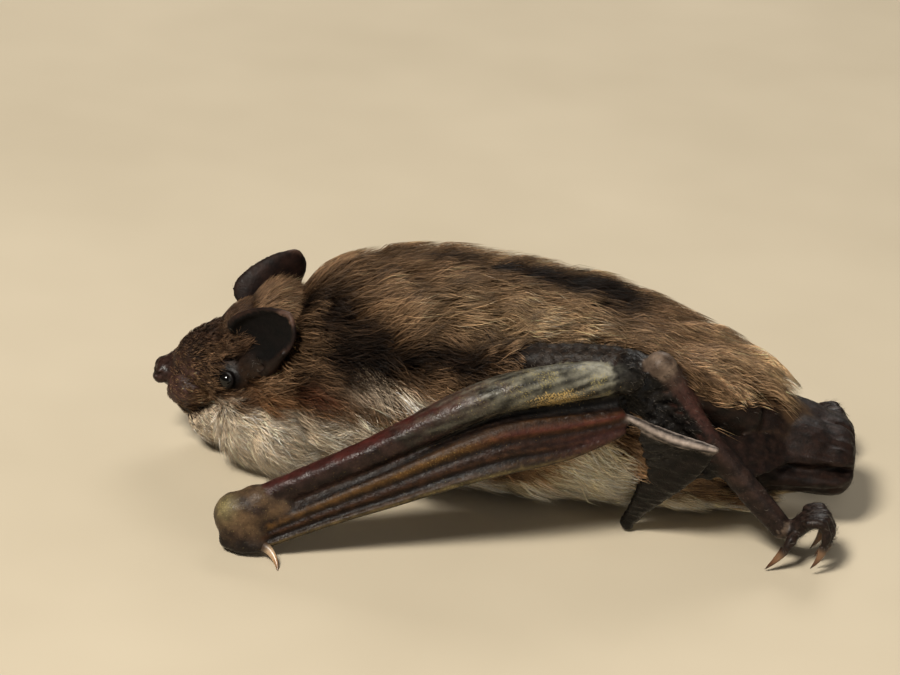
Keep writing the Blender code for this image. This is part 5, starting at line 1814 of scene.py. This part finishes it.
def make_claw(name, node, base, way, down, finish, length, radius, colours):
    """A hooked cone, deep and narrow, that leaves its base along way and bends towards down."""
    way, down = unit(way), unit(down)
    sideways = unit(np.cross(way, down))
    bend, steps, sides = 1.3, 22, 14  # the bend is in radians
    t = np.linspace(-0.12, 0.985, steps)
    turn = 2 * np.pi * np.arange(sides) / sides

    def centre(t):
        t = np.atleast_1d(t)[:, None]
        return base + (way * np.sin(t * bend) + down * (1 - np.cos(t * bend)) * 1.2) * length / bend

    rings = []
    for share, middle in zip(t, centre(t)):
        ahead = unit(way * math.cos(share * bend) + down * math.sin(share * bend))
        above = np.cross(sideways, ahead)
        size = radius * (1 - max(share, 0)) ** 0.75
        around = np.cos(turn)[:, None] * sideways * 0.7 + np.sin(turn)[:, None] * above * 1.2
        rings.append(middle + size * around)
    points = np.vstack([np.vstack(rings), centre(-0.14), centre(1.0)])
    points[:, 2] = np.maximum(points[:, 2], 0.0)
    bands, fans = ring_faces(steps, sides)
    halves = [band[:, corners] for band in bands for corners in ([0, 1, 2], [0, 2, 3])]
    mesh = mesh_from(name, points, np.vstack(halves + fans))
    share = np.clip(np.concatenate([np.repeat(t, sides), [0, 1]]), 0, 1)
    add_colours(mesh, along([tint(code) for code in colours], share))
    new_piece(name, mesh, finish, "claw", node)


# Length, radius at the root and colours from root to tip.
THUMB_CLAW = (1.9, 0.32, ("3a2c22", "a58c70", "8d6c4c", "3a2618"))
TOE_CLAW = (CLAW_LENGTH * 0.9, CLAW_RADIUS * 1.3, ("241812", "6a4f39", "533724", "21150e"))


def make_claws(where, pose, finish):
    side = pose["side"]
    base = place_of(pose, "wrist") + row(2.2, side * 1.62, -2.1)
    way, down = row(0.8, side * 0.5, -0.1), row(0, side * 0.75, -1)
    make_claw(f"thumb_hook_{where}", f"thumb_claw_{where}", base, way, down, finish, *THUMB_CLAW)
    for i in range(TOES):
        path = toe_path(pose, i)
        way, down = unit(path[-1] - path[-2]), row(-0.7, 0, -0.7)
        base = path[-1] + way * TOE_RADIUS * 0.45
        names = f"toe_hook_{where}_{i + 1}", f"toe_claw_{where}_{i + 1}"
        make_claw(*names, base, way, down, finish, *TOE_CLAW)


# --- the stage --------------------------------------------------------------------------------------


def add_floor():
    bm = bmesh.new()
    bmesh.ops.create_grid(bm, x_segments=8, y_segments=8, size=1.5)
    mesh = bpy.data.meshes.new("studio_floor")
    bm.to_mesh(mesh)
    bm.free()
    mesh.materials.append(floor_finish())
    new_object("studio_floor", mesh)


LIGHT_TARGET = Vector((0, 0, 0.008))

# The lights' names, places and sizes in metres, power in watts, and colours.
LIGHTS = [
    ("key", (-0.18, -0.36, 0.48), 0.13, 5.4, (1.0, 0.95, 0.86)),
    ("fill", (0.45, -0.45, 0.25), 0.5, 0.6, (1.0, 0.96, 0.9)),
    ("rim", (0.1, 0.5, 0.45), 0.3, 1.6, (1.0, 0.97, 0.92)),
]
WORLD_COLOUR, WORLD_STRENGTH = (1.0, 0.95, 0.87, 1), 0.1


def add_light(name, place, size, energy, colour):
    light = bpy.data.lights.new(name, "AREA")
    light.size, light.energy, light.color = size, energy, colour
    made = new_object(name, light)
    made.location = place
    made.rotation_euler = (LIGHT_TARGET - Vector(place)).to_track_quat("-Z", "Y").to_euler()


CAMERA_ANGLES = (2.0, 25.0, 5.5)  # azimuth from the left side, elevation and roll, in degrees
CAMERA_DISTANCE, CAMERA_TARGET = 283, (-4.9, 0, 11.3)
LENS, SENSOR = 150, 36


def add_camera():
    """The camera looks down at the left side, rolled a little."""
    azimuth, elevation, roll = (math.radians(a) for a in CAMERA_ANGLES)
    level = math.cos(elevation)
    back = Vector((math.sin(azimuth) * level, -math.cos(azimuth) * level, math.sin(elevation)))
    right = Vector((math.cos(azimuth), math.sin(azimuth), 0))
    up = back.cross(right)
    across = right * math.cos(roll) + up * math.sin(roll)
    above = -right * math.sin(roll) + up * math.cos(roll)
    data = bpy.data.cameras.new("camera")
    data.lens, data.sensor_width, data.clip_start = LENS, SENSOR, MM
    camera = new_object("camera", data)
    place = Matrix((across, above, back)).transposed().to_4x4()
    place.translation = Vector(CAMERA_TARGET) * MM + back * (CAMERA_DISTANCE * MM)
    camera.matrix_world = place
    bpy.context.scene.camera = camera


def add_world():
    world = bpy.data.worlds.new("studio")
    world.use_nodes = True
    background = world.node_tree.nodes["Background"]
    background.inputs["Color"].default_value = WORLD_COLOUR
    background.inputs["Strength"].default_value = WORLD_STRENGTH
    bpy.context.scene.world = world
    bpy.context.scene.view_settings.view_transform = "Standard"


# --- the bat ----------------------------------------------------------------------------------------

# The solids that the skin replaces: those on the midline, and those that each side has.
FLESH = ["trunk", "neck", "head", "tail"]
PAIRED_FLESH = [
    "ear", "tragus", "upper_arm", "forearm", "wrist", "hand", "finger", "wing_tip", "thumb", "side_membrane",
    "thigh", "shin", "foot", "tail_membrane",
]


def main():
    add_camera()
    add_world()
    add_floor()
    for light in LIGHTS:
        add_light(*light)
    build_forms()
    skin = Skin()
    skin.depth = coat_depths(skin)
    paint = paint_skin(skin)
    mesh = mesh_from("skin", skin.points, skin.triangles)
    add_colours(mesh, paint.colour)
    add_colours(mesh, paint.speck, "speck")
    for name, values in (("dryness", paint.rough), ("specked", paint.specked)):
        mesh.attributes.new(name, "FLOAT", "POINT").data.foreach_set("value", values.astype(np.float32))
    nodes = FLESH + [f"{name}_{where}" for name in PAIRED_FLESH for where in POSES]
    new_piece("skin", mesh, skin_finish(), "wing_skin", *nodes)
    make_coat(skin, fur_finish())
    eye, claw = eye_finish(), claw_finish()
    for where, pose in POSES.items():
        make_eye(where, pose, eye)
        make_claws(where, pose, claw)


main()
